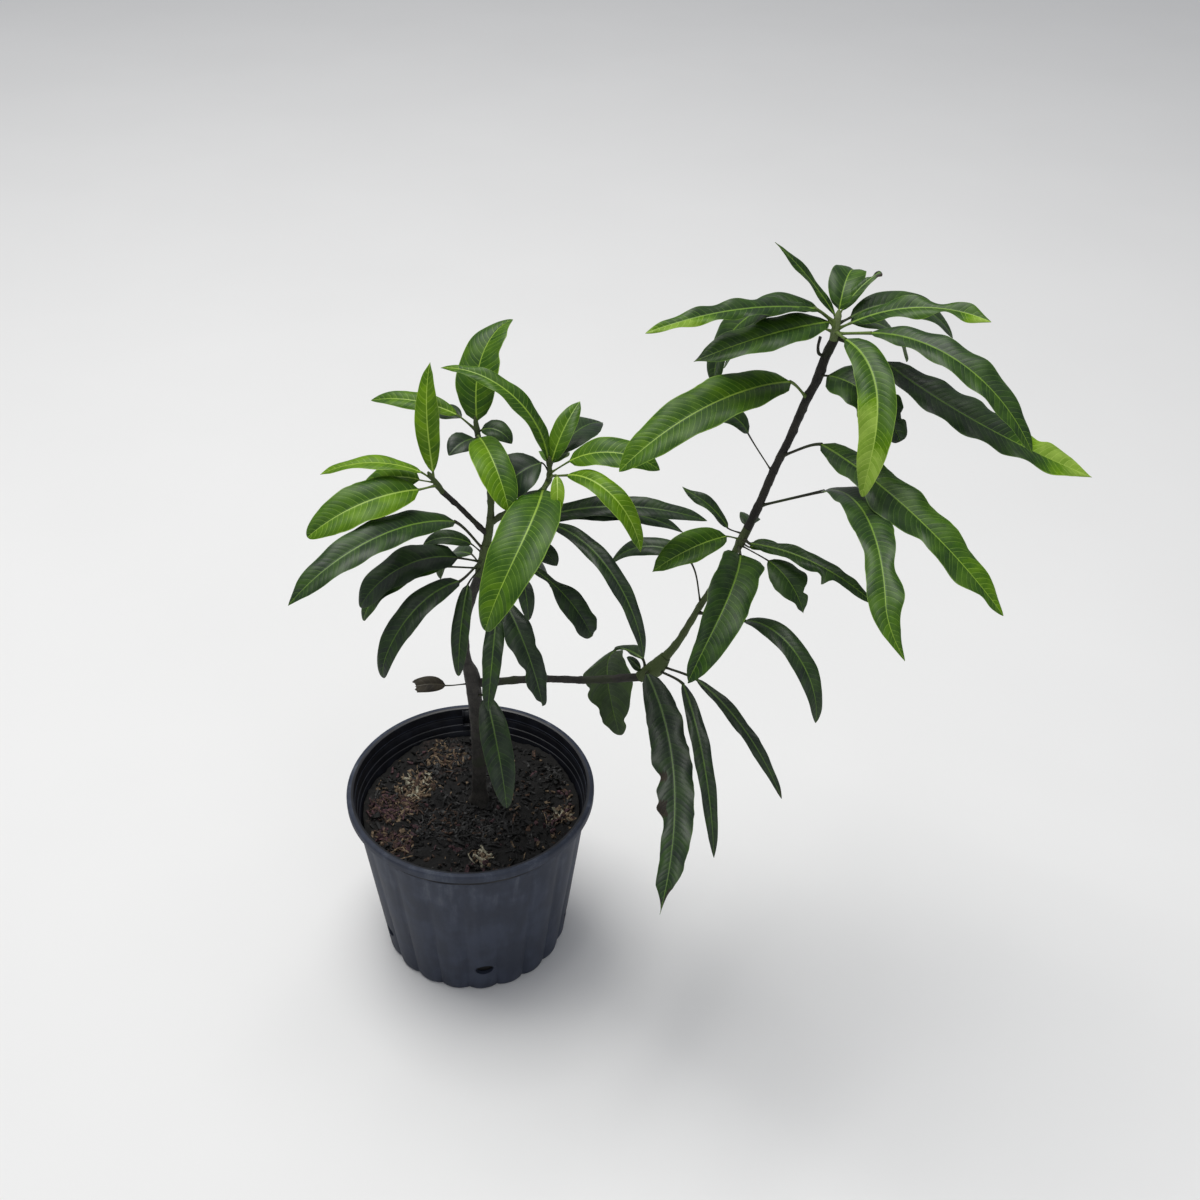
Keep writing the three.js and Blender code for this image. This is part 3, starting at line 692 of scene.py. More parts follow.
# %% Leaves of the three shoots and the fork
LEAVES = {
    "leaves_left_shoot": [
        leaf(18, [8, 95, 85], [105, 24], [118, -42], [75, 50], 2.75, far=-0.3, full=0.7, tip=1.1),
        leaf(15, [16, 185, 40], [100, 22], [185, 0], [28, -28], 2.6, roll=20, ripen=0.3, tip=1.1),
        leaf(13, [16, 180, 10], [62, 32], [175, 5], [15, -45], 2.2),
        leaf(10, [21, 215, 5], [118, 44], [210, -5], [12, -35], 2.6, roll=-6, full=0.5, tip=0.5, far=-0.8),
    ],
    "leaves_middle_shoot": [
        leaf(18, [6, 85, 75], [112, 42], [103, -65], [80, 15], 1.75, far=0.35, full=0.6, swing=-15,
             bites=[(1, 0.62, 0.05, -2), (1, 0.8, 0.08, 3)]),
        leaf(15, [24, 168, 35], [88, 22], [168, 0], [22, -18], 2.5, ripen=-0.7),
        leaf(9, [20, 280, 25], [92, 38], [290, 10], [15, -65], 1.9, far=0.9, full=0.5, tip=0.6,
             bites=[(-1, 0.42, 0.25, -5)]),
        leaf(6, [6, 230, 20], [34, 26], [225, 0], [20, -40], 0.1, full=0.8, tip=0.7, frill=0.08),
        leaf(13, [6, 330, 35], [37, 22], [340, -5], [36, -60], 0.5, full=0.7, tip=0.7, frill=0.08),
        leaf(12, [23, 140, 20], [42, 20], [140, 0], [10, -50], 0.2, full=0.8),
    ],
    "leaves_right_shoot_end": [
        leaf(28, [6, 160, 75], [150, 20], [160, 0], [85, -15], 1.6, ripen=0.6, wave=1.8, tip=1.1),
        leaf(26, [7, 50, 60], [65, 22], [55, 5], [65, 20], 2.3, far=-0.5, tip=0.9),
        leaf(24, [16, 65, 35], [85, 36], [60, -5], [25, -30], 0.3, tip=1.3, full=0.9),
        leaf(22, [14, 205, 55], [60, 46], [205, 0], [0, -75], 0.2, full=0.8),
        leaf(20, [25, 350, 40], [92, 34], [350, 0], [38, -35], 2.3, ripen=-0.8, full=0.55),
        leaf(17, [25, 320, 25], [118, 24], [320, 0], [28, -80], 2.6, ripen=0.2, far=-0.2, tip=1.0),
        leaf(14, [30, 290, 35], [38, 13], [275, -5], [-15, -85], 3.2),
        leaf(9, [20, 260, 10], [165, 54], [268, -45], [10, -70], 1.7, tip=0.45, full=0.5, far=0.25,
             frill=0.02, wave=0.9),
        leaf(18, [14, 90, 20], [70, 30], [85, 0], [0, -60], 1.9),
    ],
    "leaves_right_shoot": [
        leaf(12, [25, 335, -10], [170, 24], [355, 5], [25, -20], 0.2, full=0.5),
        leaf(9, [28, 340, -15], [150, 22], [0, 5], [25, -35], 0.0, wave=1.8),
        leaf(5, [46, 325, 5], [185, 19], [315, -5], [20, -80], 0.1, full=0.55),
    ],
    "leaves_at_fork": [
        leaf(33, [45, 345, 15], [38, 22], [340, 0], [15, -60], 0.1),
        leaf(27, [41, 335, 5], [108, 26], [325, 0], [0, -60], 0.1, belly=0.7, full=0.6, tip=0.2, wave=2.2,
             bites=[(1, 0.36, 0.12, -4), (-1, 0.4, 0.12, -3), (1, 0.9, 0.07, 3.5), (-1, 0.88, 0.05, 3),
                    (-1, 0.985, 0.015, -6)]),
        leaf(19, [53, 320, 5], [46, 16], [290, -10], [-10, -80], 0.1, tip=0.5),
        leaf(31, [55, 210, 55], [200, 38], [225, -10], [30, -40], 0.7, full=0.52, tip=0.9, frill=0.025),
        leaf(17, [30, 205, 25], [118, 38], [205, 0], [25, -60], 0.0, full=0.45, wave=3.0, tip=0.5, far=0.2),
        leaf(9, [41, 200, 15], [108, 24], [200, 0], [15, -75], 1.0, full=0.5, tip=0.4, wave=2.2),
        leaf(22, [39, 235, -10], [140, 28], [229, 0], [18, -75], 0.2, full=0.5, tip=0.5, hook=-20),
        leaf(12, [29, 245, -10], [95, 18], [260, 5], [-30, -80], 0.3, full=0.5, tip=0.5),
        leaf(14, [44, 295, -20], [115, 20], [270, -10], [-25, -70], 0.3, wave=2.4, full=0.5),
        leaf(7, [46, 306, -15], [116, 26], [298, 5], [-15, -70], 0.0, wave=2.4, full=0.55, tip=0.3,
             frill=0.07, bites=[(1, 0.33, 0.13, 4), (1, 0.66, 0.05, -4), (1, 0.8, 0.04, 1.5),
                                (-1, 0.5, 0.05, -2), (-1, 0.76, 0.05, 1.5), (1, 0.97, 0.03, -4)]),
        leaf(26, [18, 180, 45], [52, 18], [180, 0], [35, -40], 0.5),
        leaf(24, [22, 60, 10], [105, 30], [55, 0], [-5, -70], 0.3),
        leaf(15, [22, 25, 0], [82, 26], [30, 0], [-10, -80], 0.0),
        leaf(11, [24, 120, 0], [95, 28], [130, 0], [-15, -80], 0.6),
    ],
}
print("leaves of the shoots and the fork:", sum(map(len, LEAVES.values())))

# %% Leaves of the side bough
LEAVES["leaves_at_knuckle"] = [
    leaf(12, [20, 262, 35], [262, 42], [293, -40], [-13, -36], 0.0, full=0.5, tip=1.6, wave=2.2, ripen=0.6,
         frill=0.07, bites=[(-1, 0.36, 0.12, -3), (1, 0.47, 0.03, -6), (1, 0.68, 0.16, -7),
                            (1, 0.6, 0.02, 4), (-1, 0.91, 0.05, -4)],
         scorch=[(1, 0.47, 0.02), (1, 0.6, 0.03), (-1, 0.93, 0.03), (1, 0.97, 0.03), (-1, 0.98, 0.02)]),
    leaf(21, [44, 310, 10], [195, 18], [282, 0], [5, -70], 0.0, wave=1.8, full=0.55),
    leaf(27, [48, 325, 5], [154, 15], [312, -5], [-3, -50], 0.0, wave=2.4, frill=0.09, full=0.55,
         scorch=[(1, 0.97, 0.03), (-1, 0.97, 0.03)]),
    leaf(10, [16, 130, 60], [172, 62], [134, -31], [6, -176], 0.45, frill=0.07, wave=2.4, full=0.7, tip=0.5,
         bites=[(-1, 0.22, 0.16, -25), (1, 0.3, 0.16, -26), (-1, 0.62, 0.03, -4), (-1, 0.78, 0.04, -5),
                (1, 0.7, 0.16, 8), (1, 0.88, 0.03, -5), (-1, 0.9, 0.03, 3)]),
    leaf(6, [8, 190, 60], [24, 14], [190, 0], [60, 40], 0.3),
]
LEAVES["leaves_mid_bough"] = [
    leaf(14, [20, 205, 25], [88, 36], [215, -10], [10, -30], 1.7, fold=18, far=0.2, full=0.7, tip=1.2),
    leaf(20, [18, 165, 15], [62, 14], [150, 10], [52, 8], 0.4, wave=2.6, frill=0.12, hook=30),
    leaf(22, [10, 80, 10], [40, 22], [75, 5], [15, -60], 0.4),
    leaf(7, [20, 270, 5], [160, 46], [265, -40], [10, -60], 1.2, fold=22, roll=-18, full=0.5, wave=1.6,
         bites=[(-1, 0.1, 0.09, 9), (1, 0.1, 0.07, 4), (1, 0.72, 0.24, -8), (1, 0.52, 0.05, -2)],
         far=-0.3, ripen=-0.3),
    leaf(16, [13, 300, 5], [145, 20], [328, 0], [15, -30], 0.9, wave=3.0, frill=0.1,
         bites=[(1, 0.62, 0.025, 10), (1, 0.54, 0.03, -3), (-1, 0.4, 0.06, -2), (-1, 0.7, 0.05, -2.5)]),
    leaf(11, [12, 315, 0], [45, 16], [340, 5], [30, -35], 1.5, wave=2.2, frill=0.1),
    leaf(8, [38, 315, 0], [66, 32], [310, 5], [0, -68], 0.7, wave=2.2, frill=0.07, tip=1.2, full=0.8,
         bites=[(-1, 0.52, 0.09, 4), (-1, 0.7, 0.05, -6), (1, 0.8, 0.08, -3)]),
]
LEAVES["leaves_bough_end"] = [
    leaf(19, [5, 170, 60], [90, 13], [170, 5], [55, 40], 1.0, tip=1.2, frill=0.08),
    leaf(18, [11, 70, 75], [75, 32], [75, -10], [65, -50], 1.1, far=0.5, tip=0.4, hook=-60, wave=2.0),
    leaf(17, [12, 30, 70], [50, 12], [30, 0], [55, 20], 1.2, frill=0.1, tip=0.35, wave=1.6,
         bites=[(-1, 0.82, 0.06, -3), (1, 0.96, 0.05, 3)], scorch=[(1, 0.95, 0.1), (-1, 0.95, 0.1)]),
    leaf(14, [32, 200, 40], [168, 22], [205, -5], [16, -14], 0.7, ripen=1.6, far=-0.3, wave=2.2, full=0.55,
         bleach=[(-1, 0.6), (1, 0.85)]),
    leaf(16, [25, 200, 38], [142, 34], [178, 36], [26, -98], 0.9, roll=15, wave=1.8, full=0.45, tip=0.4),
    leaf(12, [12, 210, 40], [140, 38], [215, -20], [9, -20], 1.1, wave=1.8, full=0.6, tip=1.1,
         bites=[(1, 0.55, 0.08, -3), (1, 0.72, 0.06, 1.5)]),
    leaf(10, [17, 340, 35], [128, 26], [350, -20], [33, -10], 1.2, wave=3.0, ripen=0.6, bleach=[(1, 0.76)],
         bites=[(-1, 0.62, 0.1, -5), (1, 0.66, 0.1, -6), (1, 0.84, 0.07, 3), (-1, 0.84, 0.06, 2)]),
    leaf(15, [14, 5, 30], [118, 32], [15, -10], [30, -60], 0.6),
    leaf(6, [39, 320, 20], [194, 31], [320, 0], [20, -55], 0.7, far=0.2, wave=2.0, full=0.52, ripen=0.4,
         bites=[(-1, 0.6, 0.12, 2.5)]),
    leaf(3, [52, 335, -15], [215, 42], [315, 40], [-15, -20], 0.1, ripen=1.6, wave=2.4, full=0.55, tip=1.2,
         bites=[(-1, 0.74, 0.03, -4), (-1, 0.85, 0.06, 4), (1, 0.84, 0.07, 4)],
         bleach=[(-1, 0.6), (1, 0.74)]),
    leaf(8, [24, 285, 10], [165, 34], [305, -70], [0, -80], 1.4, ripen=0.8, full=0.5, tip=0.5,
         bites=[(-1, 0.15, 0.1, 2)], bleach=[(1, 0.38), (-1, 0.62)]),
    leaf(9, [20, 40, 5], [110, 30], [35, 0], [-5, -70], 0.8),
    leaf(7, [20, 150, 5], [115, 30], [155, 0], [-5, -70], 1.0),
]
print("leaves in whorls:", sum(map(len, LEAVES.values())))

# %% Leaves that spring singly from the side of a limb
SINGLE_LEAVES = {
    "leaf_long_bough_left_high": ["long_bough", leaf(
        150, [32, 210, 45], [195, 48], [215, -10], [14, -42], 1.6, full=0.5, wave=1.6, ripen=0.4, far=0.3)],
    "leaf_long_bough_left_low": ["long_bough", leaf(65, [48, 165, 55], [75, 26], [170, 5], [65, -50], 0.5)],
    "leaf_long_bough_right_high": ["long_bough", leaf(
        175, [12, 310, 20], [100, 50], [315, 0], [16, -55], 1.0, ripen=-0.8, wave=2.4, frill=0.1,
        full=0.5, tip=0.3,
        bites=[(-1, 0.8, 0.03, -9), (1, 0.5, 0.05, -4), (-1, 0.6, 0.03, -5), (1, 0.9, 0.04, 4)])],
    "leaf_long_bough_right_middle": ["long_bough", leaf(
        85, [51, 322, 35], [245, 42], [300, 25], [8, -42], 1.2, far=-0.5, ripen=1.3, wave=2.6, frill=0.05,
        full=0.55, bites=[(1, 0.45, 0.07, 8), (1, 0.6, 0.04, -6), (1, 0.8, 0.05, 4), (1, 0.9, 0.03, -3)])],
    "leaf_long_bough_right_low": ["long_bough", leaf(
        26, [73, 335, 30], [262, 33], [289, -24], [38, -48], 0.8, ripen=1.2, wave=2.2, full=0.5, tip=0.9,
        swing=55, bites=[(-1, 0.66, 0.05, -4), (-1, 0.5, 0.06, 2), (-1, 0.78, 0.05, 4), (1, 0.6, 0.05, -3),
                         (1, 0.78, 0.07, 3)])],
    "leaf_rising_bough_right": ["rising_bough", leaf(
        62, [59, 325, 15], [152, 24], [312, -5], [33, -92], 0.45, full=0.55, far=-0.2)],
    "leaf_rising_bough_left": ["rising_bough", leaf(72, [51, 165, 75], [95, 22], [170, 5], [45, -60], 0.3)],
    "leaf_over_pot": ["trunk", leaf(
        165, [20, 320, 20], [128, 32], [285, 5], [-10, -75], 0.1, full=0.55, tip=0.5, frill=0.02)],
    "leaf_torn": ["trunk", leaf(180, [30, 195, 5], [48, 20], [195, 0], [25, -25], WITHER, cut=0.7)],
}
print("leaves:", sum(map(len, LEAVES.values())) + len(SINGLE_LEAVES))

# %% [markdown]
# ## How a blade is built
# The blade is a lattice whose rows lean towards the tip as the side veins do. Between two veins
# the skin swells, so the face catches the light in the quilted way of a mango leaf, and each
# vein is a narrow row of faces with the pale vein finish. Cutting the veins as faces keeps
# them crisp at any distance, where a painted vein would blur. The age of each panel between two
# veins is a step of the ladder, so a tip can be younger than its base.

# %% Measures of a blade
TURN = 22  # degrees that a blade heading sideways is rolled to face the light
VEIN_SPACING = 6.3
VEIN_WIDTH = 0.44
RIB_WIDTH = 0.8  # half the midrib's width at its foot, in a middling leaf
RIB_STEPS = 2  # how many steps younger the midrib looks than the side veins
SKIN = 0.45  # thickness
SWELL = 0.2  # how far the skin stands up between two veins
ARCH = 0.07  # how far a half blade bows up, as a share of its width
COLUMNS = np.array([0.0, 0.1, 0.26, 0.44, 0.62, 0.8, 0.965, 1.0])  # the last one is the pale margin
SIDE = np.r_[-np.ones(len(COLUMNS)), 0, np.ones(len(COLUMNS))]
OUT = np.r_[COLUMNS[::-1], 0, COLUMNS]
STATIONS = 400  # along the midrib
POINT_FROM = 0.9  # the share of the length from which a blade is drawn in to its point
BENT_END = 0.2  # the share of the length that its hook and swing bend
LEAST = 1e-6  # in place of 0, which can't be raised to every power


def direction(bearing, rise):
    """The unit vector with a bearing and a rise, in degrees."""
    b, r = np.radians(bearing), np.radians(rise)
    return np.stack([np.cos(r) * np.cos(b), np.cos(r) * np.sin(b), np.sin(r)], -1)


def half_width(share, one):
    """A rounded base, a belly and a drawn-out tip."""
    bend = math.log(0.5) / math.log(one["belly"])
    body = np.sin(np.pi * np.clip(share, LEAST, POINT_FROM) ** bend) ** one["full"]
    point = np.clip((1 - share) / (1 - POINT_FROM), LEAST, 1) ** one["tip"]
    return one["blade"][1] / 2 * body * np.where(share > POINT_FROM, point, 1.0)


def blade_frame(one, share):
    """The directions along, to the right of and up from the blade at shares of its length."""
    bearing, sweep = one["heading"]
    low, high = one["rise"]
    roll = np.radians(one["roll"] + TURN * math.cos(math.radians(bearing)))
    end = np.clip((share - (1 - BENT_END)) / BENT_END, 0, 1)
    bearing = bearing + sweep * share + one["swing"] * end
    along = direction(bearing, low + (high - low) * share + one["hook"] * end)
    b = np.radians(bearing)
    right = np.stack([np.sin(b), -np.cos(b), np.zeros_like(b)], -1)
    up = np.cross(right, along)
    return along, right * np.cos(roll) - up * np.sin(roll), up * np.cos(roll) + right * np.sin(roll)


def midrib_line(one, base):
    """Points along the midrib, from the base to the tip."""
    shares = (np.arange(STATIONS) + 0.5) / STATIONS
    along = blade_frame(one, shares)[0] * one["blade"][0] / STATIONS
    return base + np.vstack([np.zeros(3), np.cumsum(along, 0)])


print("columns across a blade:", len(OUT))

# %% Rows of a blade
FEWEST_VEINS, MOST_VEINS = 5, 42  # of one half
FIRST_VEIN, LAST_VEIN = 0.05, 0.955
VEIN_STRAY = 0.18  # how far a vein may stray from its even place, as a share of a gap
SUB_ROWS = (1 / 3, 2 / 3)  # of the way from one vein to the next


def blade_rows(one, rng):
    """Rows as (share of the length, edge of a vein or 0, swell)."""
    length = one["blade"][0]
    count = int(np.clip(round(length / VEIN_SPACING), FEWEST_VEINS, MOST_VEINS))
    stray = rng.uniform(-VEIN_STRAY, VEIN_STRAY, count) * 0.9 / (count - 1)
    veins = np.linspace(FIRST_VEIN, LAST_VEIN, count) + stray
    rows = [(0.0, 0, 0.0), (0.02, 0, 0.2)]
    for i, vein in enumerate(veins):
        rows += [(vein, -1, 0.0), (vein, 1, 0.0)]
        if i + 1 < count:
            step = veins[i + 1] - vein
            rows += [(vein + step * f, 0, math.sin(math.pi * f)) for f in SUB_ROWS]
    rows += [(0.975, 0, 0.1), (0.99, 0, 0.0), (1.0, 0, 0.0)]
    rows = [row for row in rows if row[0] <= one["cut"]]
    if one["cut"] < 1:
        rows = [*rows[:-1], (one["cut"], 0, 0.0)]
    return np.array(rows)


sample = leaf(0, [20, 0, 0], [200, 40], [0, 0], [0, 0], 0.0, rib=RIB_WIDTH)
print("rows of a 200 mm blade:", len(blade_rows(sample, np.random.default_rng(0))))

# %% Margin of a blade
LOBE, TOOTH, TOOTH_SHARE = 16, 6, 0.5  # lengths of the margin's lobes and teeth, and a tooth's depth
RUFFLE_LENGTHS = (38, 55)


def margin_reach(one, place, seed):
    """Half the width at a place, with the frill and the bites of the margin."""
    length = one["blade"][0]
    lobes = grain(place * length / LOBE, SIDE * 3 + 9, seed)
    teeth = grain(place * length / TOOTH, SIDE * 3 + 9, seed + 1)
    uneven = one["frill"] * (lobes + TOOTH_SHARE * teeth) * np.sin(np.pi * place) ** 0.5
    reach = half_width(place, one) * (1 + uneven)
    for side, centre, span, amount in one["bites"]:
        reach = reach + np.where(SIDE == side, amount * np.exp(-(((place - centre) / span) ** 2)), 0)
    return reach


def ruffles(one, place, rng):
    """How far the blade rises and falls in waves, most at its margin."""
    phases = rng.uniform(0, 2 * np.pi, 2)
    waves = one["blade"][0] / rng.uniform(*RUFFLE_LENGTHS)
    phase = np.where(SIDE > 0, phases[0], phases[1])
    wave = np.sin(2 * np.pi * waves * place + phase)
    return one["wave"] * OUT**2 * wave * np.sin(np.pi * place) ** 0.5


print("half its width in the middle:", round(margin_reach(sample, 0.5, 1).max(), 1), "mm")

# %% Points of a blade
SEEDS = 1e6  # how many seeds a blade draws its own from
LEAN, LEAN_CURVE = 0.42, 0.45  # how far veins run towards the tip on their way out, in half widths
STAGGER = 0.2  # how far the veins of one half are shifted on and of the other back, in spacings
VEIN_TAPER = 0.55  # how much narrower a vein is at the margin, as a share
RIB_TIP = 0.14  # half the midrib's width at its tip
NARROWEST = 0.03  # the least that half a blade stands out from its midrib
RAGGED, RAGGED_SEED = 0.05, 7  # how uneven a tear across the blade is, as a share of its length
UNEVEN_SWELL = 0.35  # how much one panel's swell differs from another's, as a share
EDGE_DROP = 0.05  # how far the margin curls down, as a share of the half width
RIB_RISE = 0.16  # how far the midrib stands out of the upper face
KEEL, KEEL_SIDE = 1.25, 0.3  # how deep its middle and sides hang below, in half widths of it
VEIN_RELIEF = 0.14  # how far a side vein stands out of the underside, next to the midrib


def blade_points(one, base, rng):
    """The upper and lower points of a blade, its places on the map and which rows are veins."""
    length = one["blade"][0]
    rows = blade_rows(one, rng)
    share, edge, swell = (rows[:, i][:, None] for i in range(3))
    lean = half_width(share, one) / length * (LEAN * OUT + LEAN_CURVE * OUT**2)
    stagger = STAGGER * VEIN_SPACING / length * SIDE * np.sin(np.pi * share)
    width = edge * VEIN_WIDTH / 2 * (1 - VEIN_TAPER * OUT) / length
    torn = RAGGED * grain(OUT * 4, SIDE * 3, RAGGED_SEED) if one["cut"] < 1 else 0.0
    place = np.clip(share + lean + stagger + width, 0, one["cut"] + torn)
    rib = one["rib"] * (1 - place) ** 0.8 + RIB_TIP
    reach = margin_reach(one, place, int(rng.integers(SEEDS)))
    x = SIDE * (rib + np.maximum(reach - rib, NARROWEST) * OUT)
    ruffle = ruffles(one, place, rng)
    panels = 1 + UNEVEN_SWELL * grain(share * 40, SIDE * 2, int(rng.integers(SEEDS)))
    quilt = SWELL * swell * panels * np.sin(np.pi * np.clip(OUT * 1.08, 0, 1)) ** 0.8
    bow = ARCH * reach * np.sin(np.pi * OUT) - EDGE_DROP * reach * OUT**5
    height = np.abs(x) * math.tan(math.radians(one["fold"])) + bow + quilt + ruffle
    skin = SKIN / 2 * (1 - 0.5 * OUT)
    upper = height + skin + np.where(SIDE == 0, RIB_RISE, 0)
    keel = np.where(SIDE == 0, KEEL * rib, np.where(OUT == 0, KEEL_SIDE * rib, 0))
    lower = height - skin - keel - np.where(edge != 0, VEIN_RELIEF * (1 - OUT), 0)
    line, stations = midrib_line(one, base), np.linspace(0, 1, STATIONS + 1)
    centre = np.stack([np.interp(place, stations, line[:, i]) for i in range(3)], -1)
    _, right, up = blade_frame(one, place)
    flat = centre + right * x[..., None]
    veins = (rows[:-1, 1] == -1) & (rows[1:, 1] == 1)
    return flat + up * upper[..., None], flat + up * lower[..., None], (place * length, x), veins


trial_points = blade_points(sample, np.zeros(3), np.random.default_rng(0))[0]
print("points on its upper face:", trial_points.size // 3)

# %% Ages within a blade
PATCH = 0.24  # how much older or younger a panel may be
BLEACH_REACH = 0.16  # the share of a blade over which it turns from its own colour to bleached
DRY_FROM = 0.6  # how far out, as a share of the half width, a scorched margin is dry


def blade_steps(one, share, veins, rng):
    """The step of each face of a blade, from its age and the painted light on one half, and where its
    margin has dried.
    """
    middle = (share[:-1, :-1] + share[1:, 1:]) / 2
    right = (SIDE[1:] > 0).astype(int)
    panel = np.cumsum(veins)
    patches = rng.uniform(-PATCH, PATCH, (panel.max() + 1, 2))[panel][:, right]
    # far shifts the right half's steps: painted light and shade, a half paler where light catches it and
    # darker where it does not
    age = one["age"] + one["ripen"] * middle**2 + one["far"] * right
    for side, start in one["bleach"]:
        reached = np.clip((middle - start) / BLEACH_REACH, 0, 1) * (SIDE[1:] == side)
        age = age + (BLEACHED - age) * reached
    age = age + patches
    steps = np.clip(np.rint(age * STEPS_PER_AGE), 0, TOP_STEP).astype(int)
    dry = np.full(steps.shape, one["age"] == WITHER)
    for side, centre, span in one["scorch"]:
        margin = (SIDE[1:] == side) & (np.maximum(OUT[:-1], OUT[1:]) > DRY_FROM)
        dry |= margin & (np.abs(middle - centre) < span)
    return np.where(dry, len(AGES) - 1, steps)


print("finishes that blades draw on:", 3 * len(AGES))

# %% A blade's faces on its map
EDGE_MAP = np.array([0.0, 0.0, 0.3, 0.3])[None, :, None]  # how wide the edge is there
MAP_GAP, MAP_SLACK = 2.0, 1.12  # the gap between two strips, and how much longer the map's side is


def on_strip(corners, strip):
    """The corners, each with the number of the strip that it lies on."""
    return np.dstack([corners, np.full(corners.shape[:2], strip)])


def put_edge(shell, upper, lower, cell, strip, finish):
    """Closes a blade all round, between the margins of its upper face and its underside."""
    count, columns = cell.shape[:2]
    size = count * columns
    index = np.arange(size).reshape(count, columns)
    loop = np.r_[index[:, 0], index[-1, 1:], index[-2::-1, -1], index[0, -2:0:-1]]
    after = np.roll(loop, -1)
    quads = np.stack([after, loop, loop + size, after + size], -1)
    corners = cell.reshape(-1, 2)[quads % size] + EDGE_MAP
    shell.put(np.stack([upper, lower]), quads, on_strip(corners, strip), finish)


def put_blade(shell, one, base, rng, strips):
    """Adds one blade. Its upper face and its underside each take a strip of the map."""
    upper, lower, (along, across), veins = blade_points(one, base, rng)
    count, columns = along.shape
    steps = blade_steps(one, along / one["blade"][0], veins, rng)
    kind = np.zeros(steps.shape, int)  # 0 for skin, 1 for a side vein or the margin, 2 for the midrib
    kind[veins] = 1
    kind[:, [0, -1]] = 1
    kind[:, len(COLUMNS) - 1 : len(COLUMNS) + 1] = 2
    numbers = [np.zeros(steps.shape, int), np.zeros(steps.shape, int)]
    for step in np.unique(steps):
        top, under, vein = (shell.material(made) for made in AGES[step])
        rib = shell.material(AGES[max(step, min(step + RIB_STEPS, TOP_STEP))][2])
        here = steps == step
        for table, skin in zip(numbers, (top, under)):
            table[here] = np.array([skin, vein, rib])[kind[here]]
    cell = np.stack([along - along.min(), across - across.min()], -1)
    quads = lattice(count, columns)
    for points, table, faces in ((upper, numbers[0], quads), (lower, numbers[1], quads[:, ::-1])):
        shell.put(points, faces, on_strip(cell.reshape(-1, 2)[faces], len(strips)), table.ravel())
        strips.append(cell.reshape(-1, 2).max(0))
    put_edge(shell, upper, lower, cell, len(strips) - 2, AGES[steps[count // 2, 0]][2])


def pack_strips(shell, strips):
    """Lays the strips side by side in columns, and moves every corner onto the map."""
    sizes = np.array(strips) + MAP_GAP
    side = math.sqrt((sizes[:, 0] * sizes[:, 1]).sum()) * MAP_SLACK
    places = np.zeros((len(strips), 2))
    left, low, widest = 0.0, 0.0, 0.0
    for i in np.argsort(-sizes[:, 0]):
        if low and low + sizes[i, 1] > side:
            left, low, widest = left + widest, 0.0, 0.0
        places[i] = left, low
        low += sizes[i, 1]
        widest = max(widest, sizes[i, 0])
    full = (places + sizes).max()
    for k, corners in enumerate(shell.corners):
        strip = corners[..., 2].astype(int)
        shell.corners[k] = (corners[..., :2] + places[strip] + MAP_GAP / 2) / full


trial, trial_strips = Shell(), []
put_blade(trial, sample, np.zeros(3), np.random.default_rng(0), trial_strips)
print("its faces:", sum(map(len, trial.quads)), "on", len(trial_strips), "strips of the map")

# %% [markdown]
# ## Leaf stalks
# A mango leaf hangs on a stalk that is thick at its foot, where it can turn, and slimmer
# beyond. It leaves the stem in its own direction and bends into the midrib, so it is a tube
# along a curve with those two directions at its ends. The four stems at the ends of shoots
# carry on into a pointed bud.

# %% Stalks
STALK_STEPS = 14
STALK_SIDES = 12
STALK_RADIUS = 1.15
STALK_FOOT, STALK_FOOT_REACH = 0.95, 4.5  # how much thicker its foot is, and how far that reaches
STALK_END = 0.35  # how much thicker it is where it meets the blade
BLADE_START = 0.02  # the share of a blade whose direction its stalk takes on


def place_along(table, distance):
    """The point at a distance along the straight pieces between a stem's points."""
    points = np.asarray(table, float)[:, :3]
    return np.array([np.interp(distance, walked(points), points[:, i]) for i in range(3)])


def stalk_rings(one, root, base, scale):
    """The rings of a stalk that leaves its stem straight and bends into the blade."""
    t = np.linspace(0, 1, STALK_STEPS)
    chord = base - root
    reach = np.linalg.norm(chord)
    arrive = unit(chord + reach * blade_frame(one, np.array([BLADE_START]))[0][0]) * reach
    foot = STALK_FOOT * np.exp(-((t * reach / STALK_FOOT_REACH) ** 2))
    radii = scale * (STALK_RADIUS + foot + STALK_END * t**4)
    return rings_round(hermite(t[:, None], root, base, chord, arrive), radii, STALK_SIDES)


trial_rings = stalk_rings(sample, np.zeros(3), np.array([20.0, 0, 0]), 1.0)
print("rings of a stalk:", trial_rings.shape[0], "each of", trial_rings.shape[1], "points")

# %% Leaves on their stalks
MIDDLING_BLADE = 130
LEAST_SCALE, MOST_SCALE = 0.6, 1.15
STALK_INTO_BLADE = 0.8
STALK_ROOT = 0.6  # how far from its stem's middle a stalk starts, as a share of the stem's radius
WINDOW_SHARE = 0.94  # the share of its part of the map that a stalk fills


def leaf_scale(one):
    """How thick the stalk and the midrib of a leaf are, beside a middling leaf's."""
    return float(np.clip(one["blade"][0] / MIDDLING_BLADE, LEAST_SCALE, MOST_SCALE))


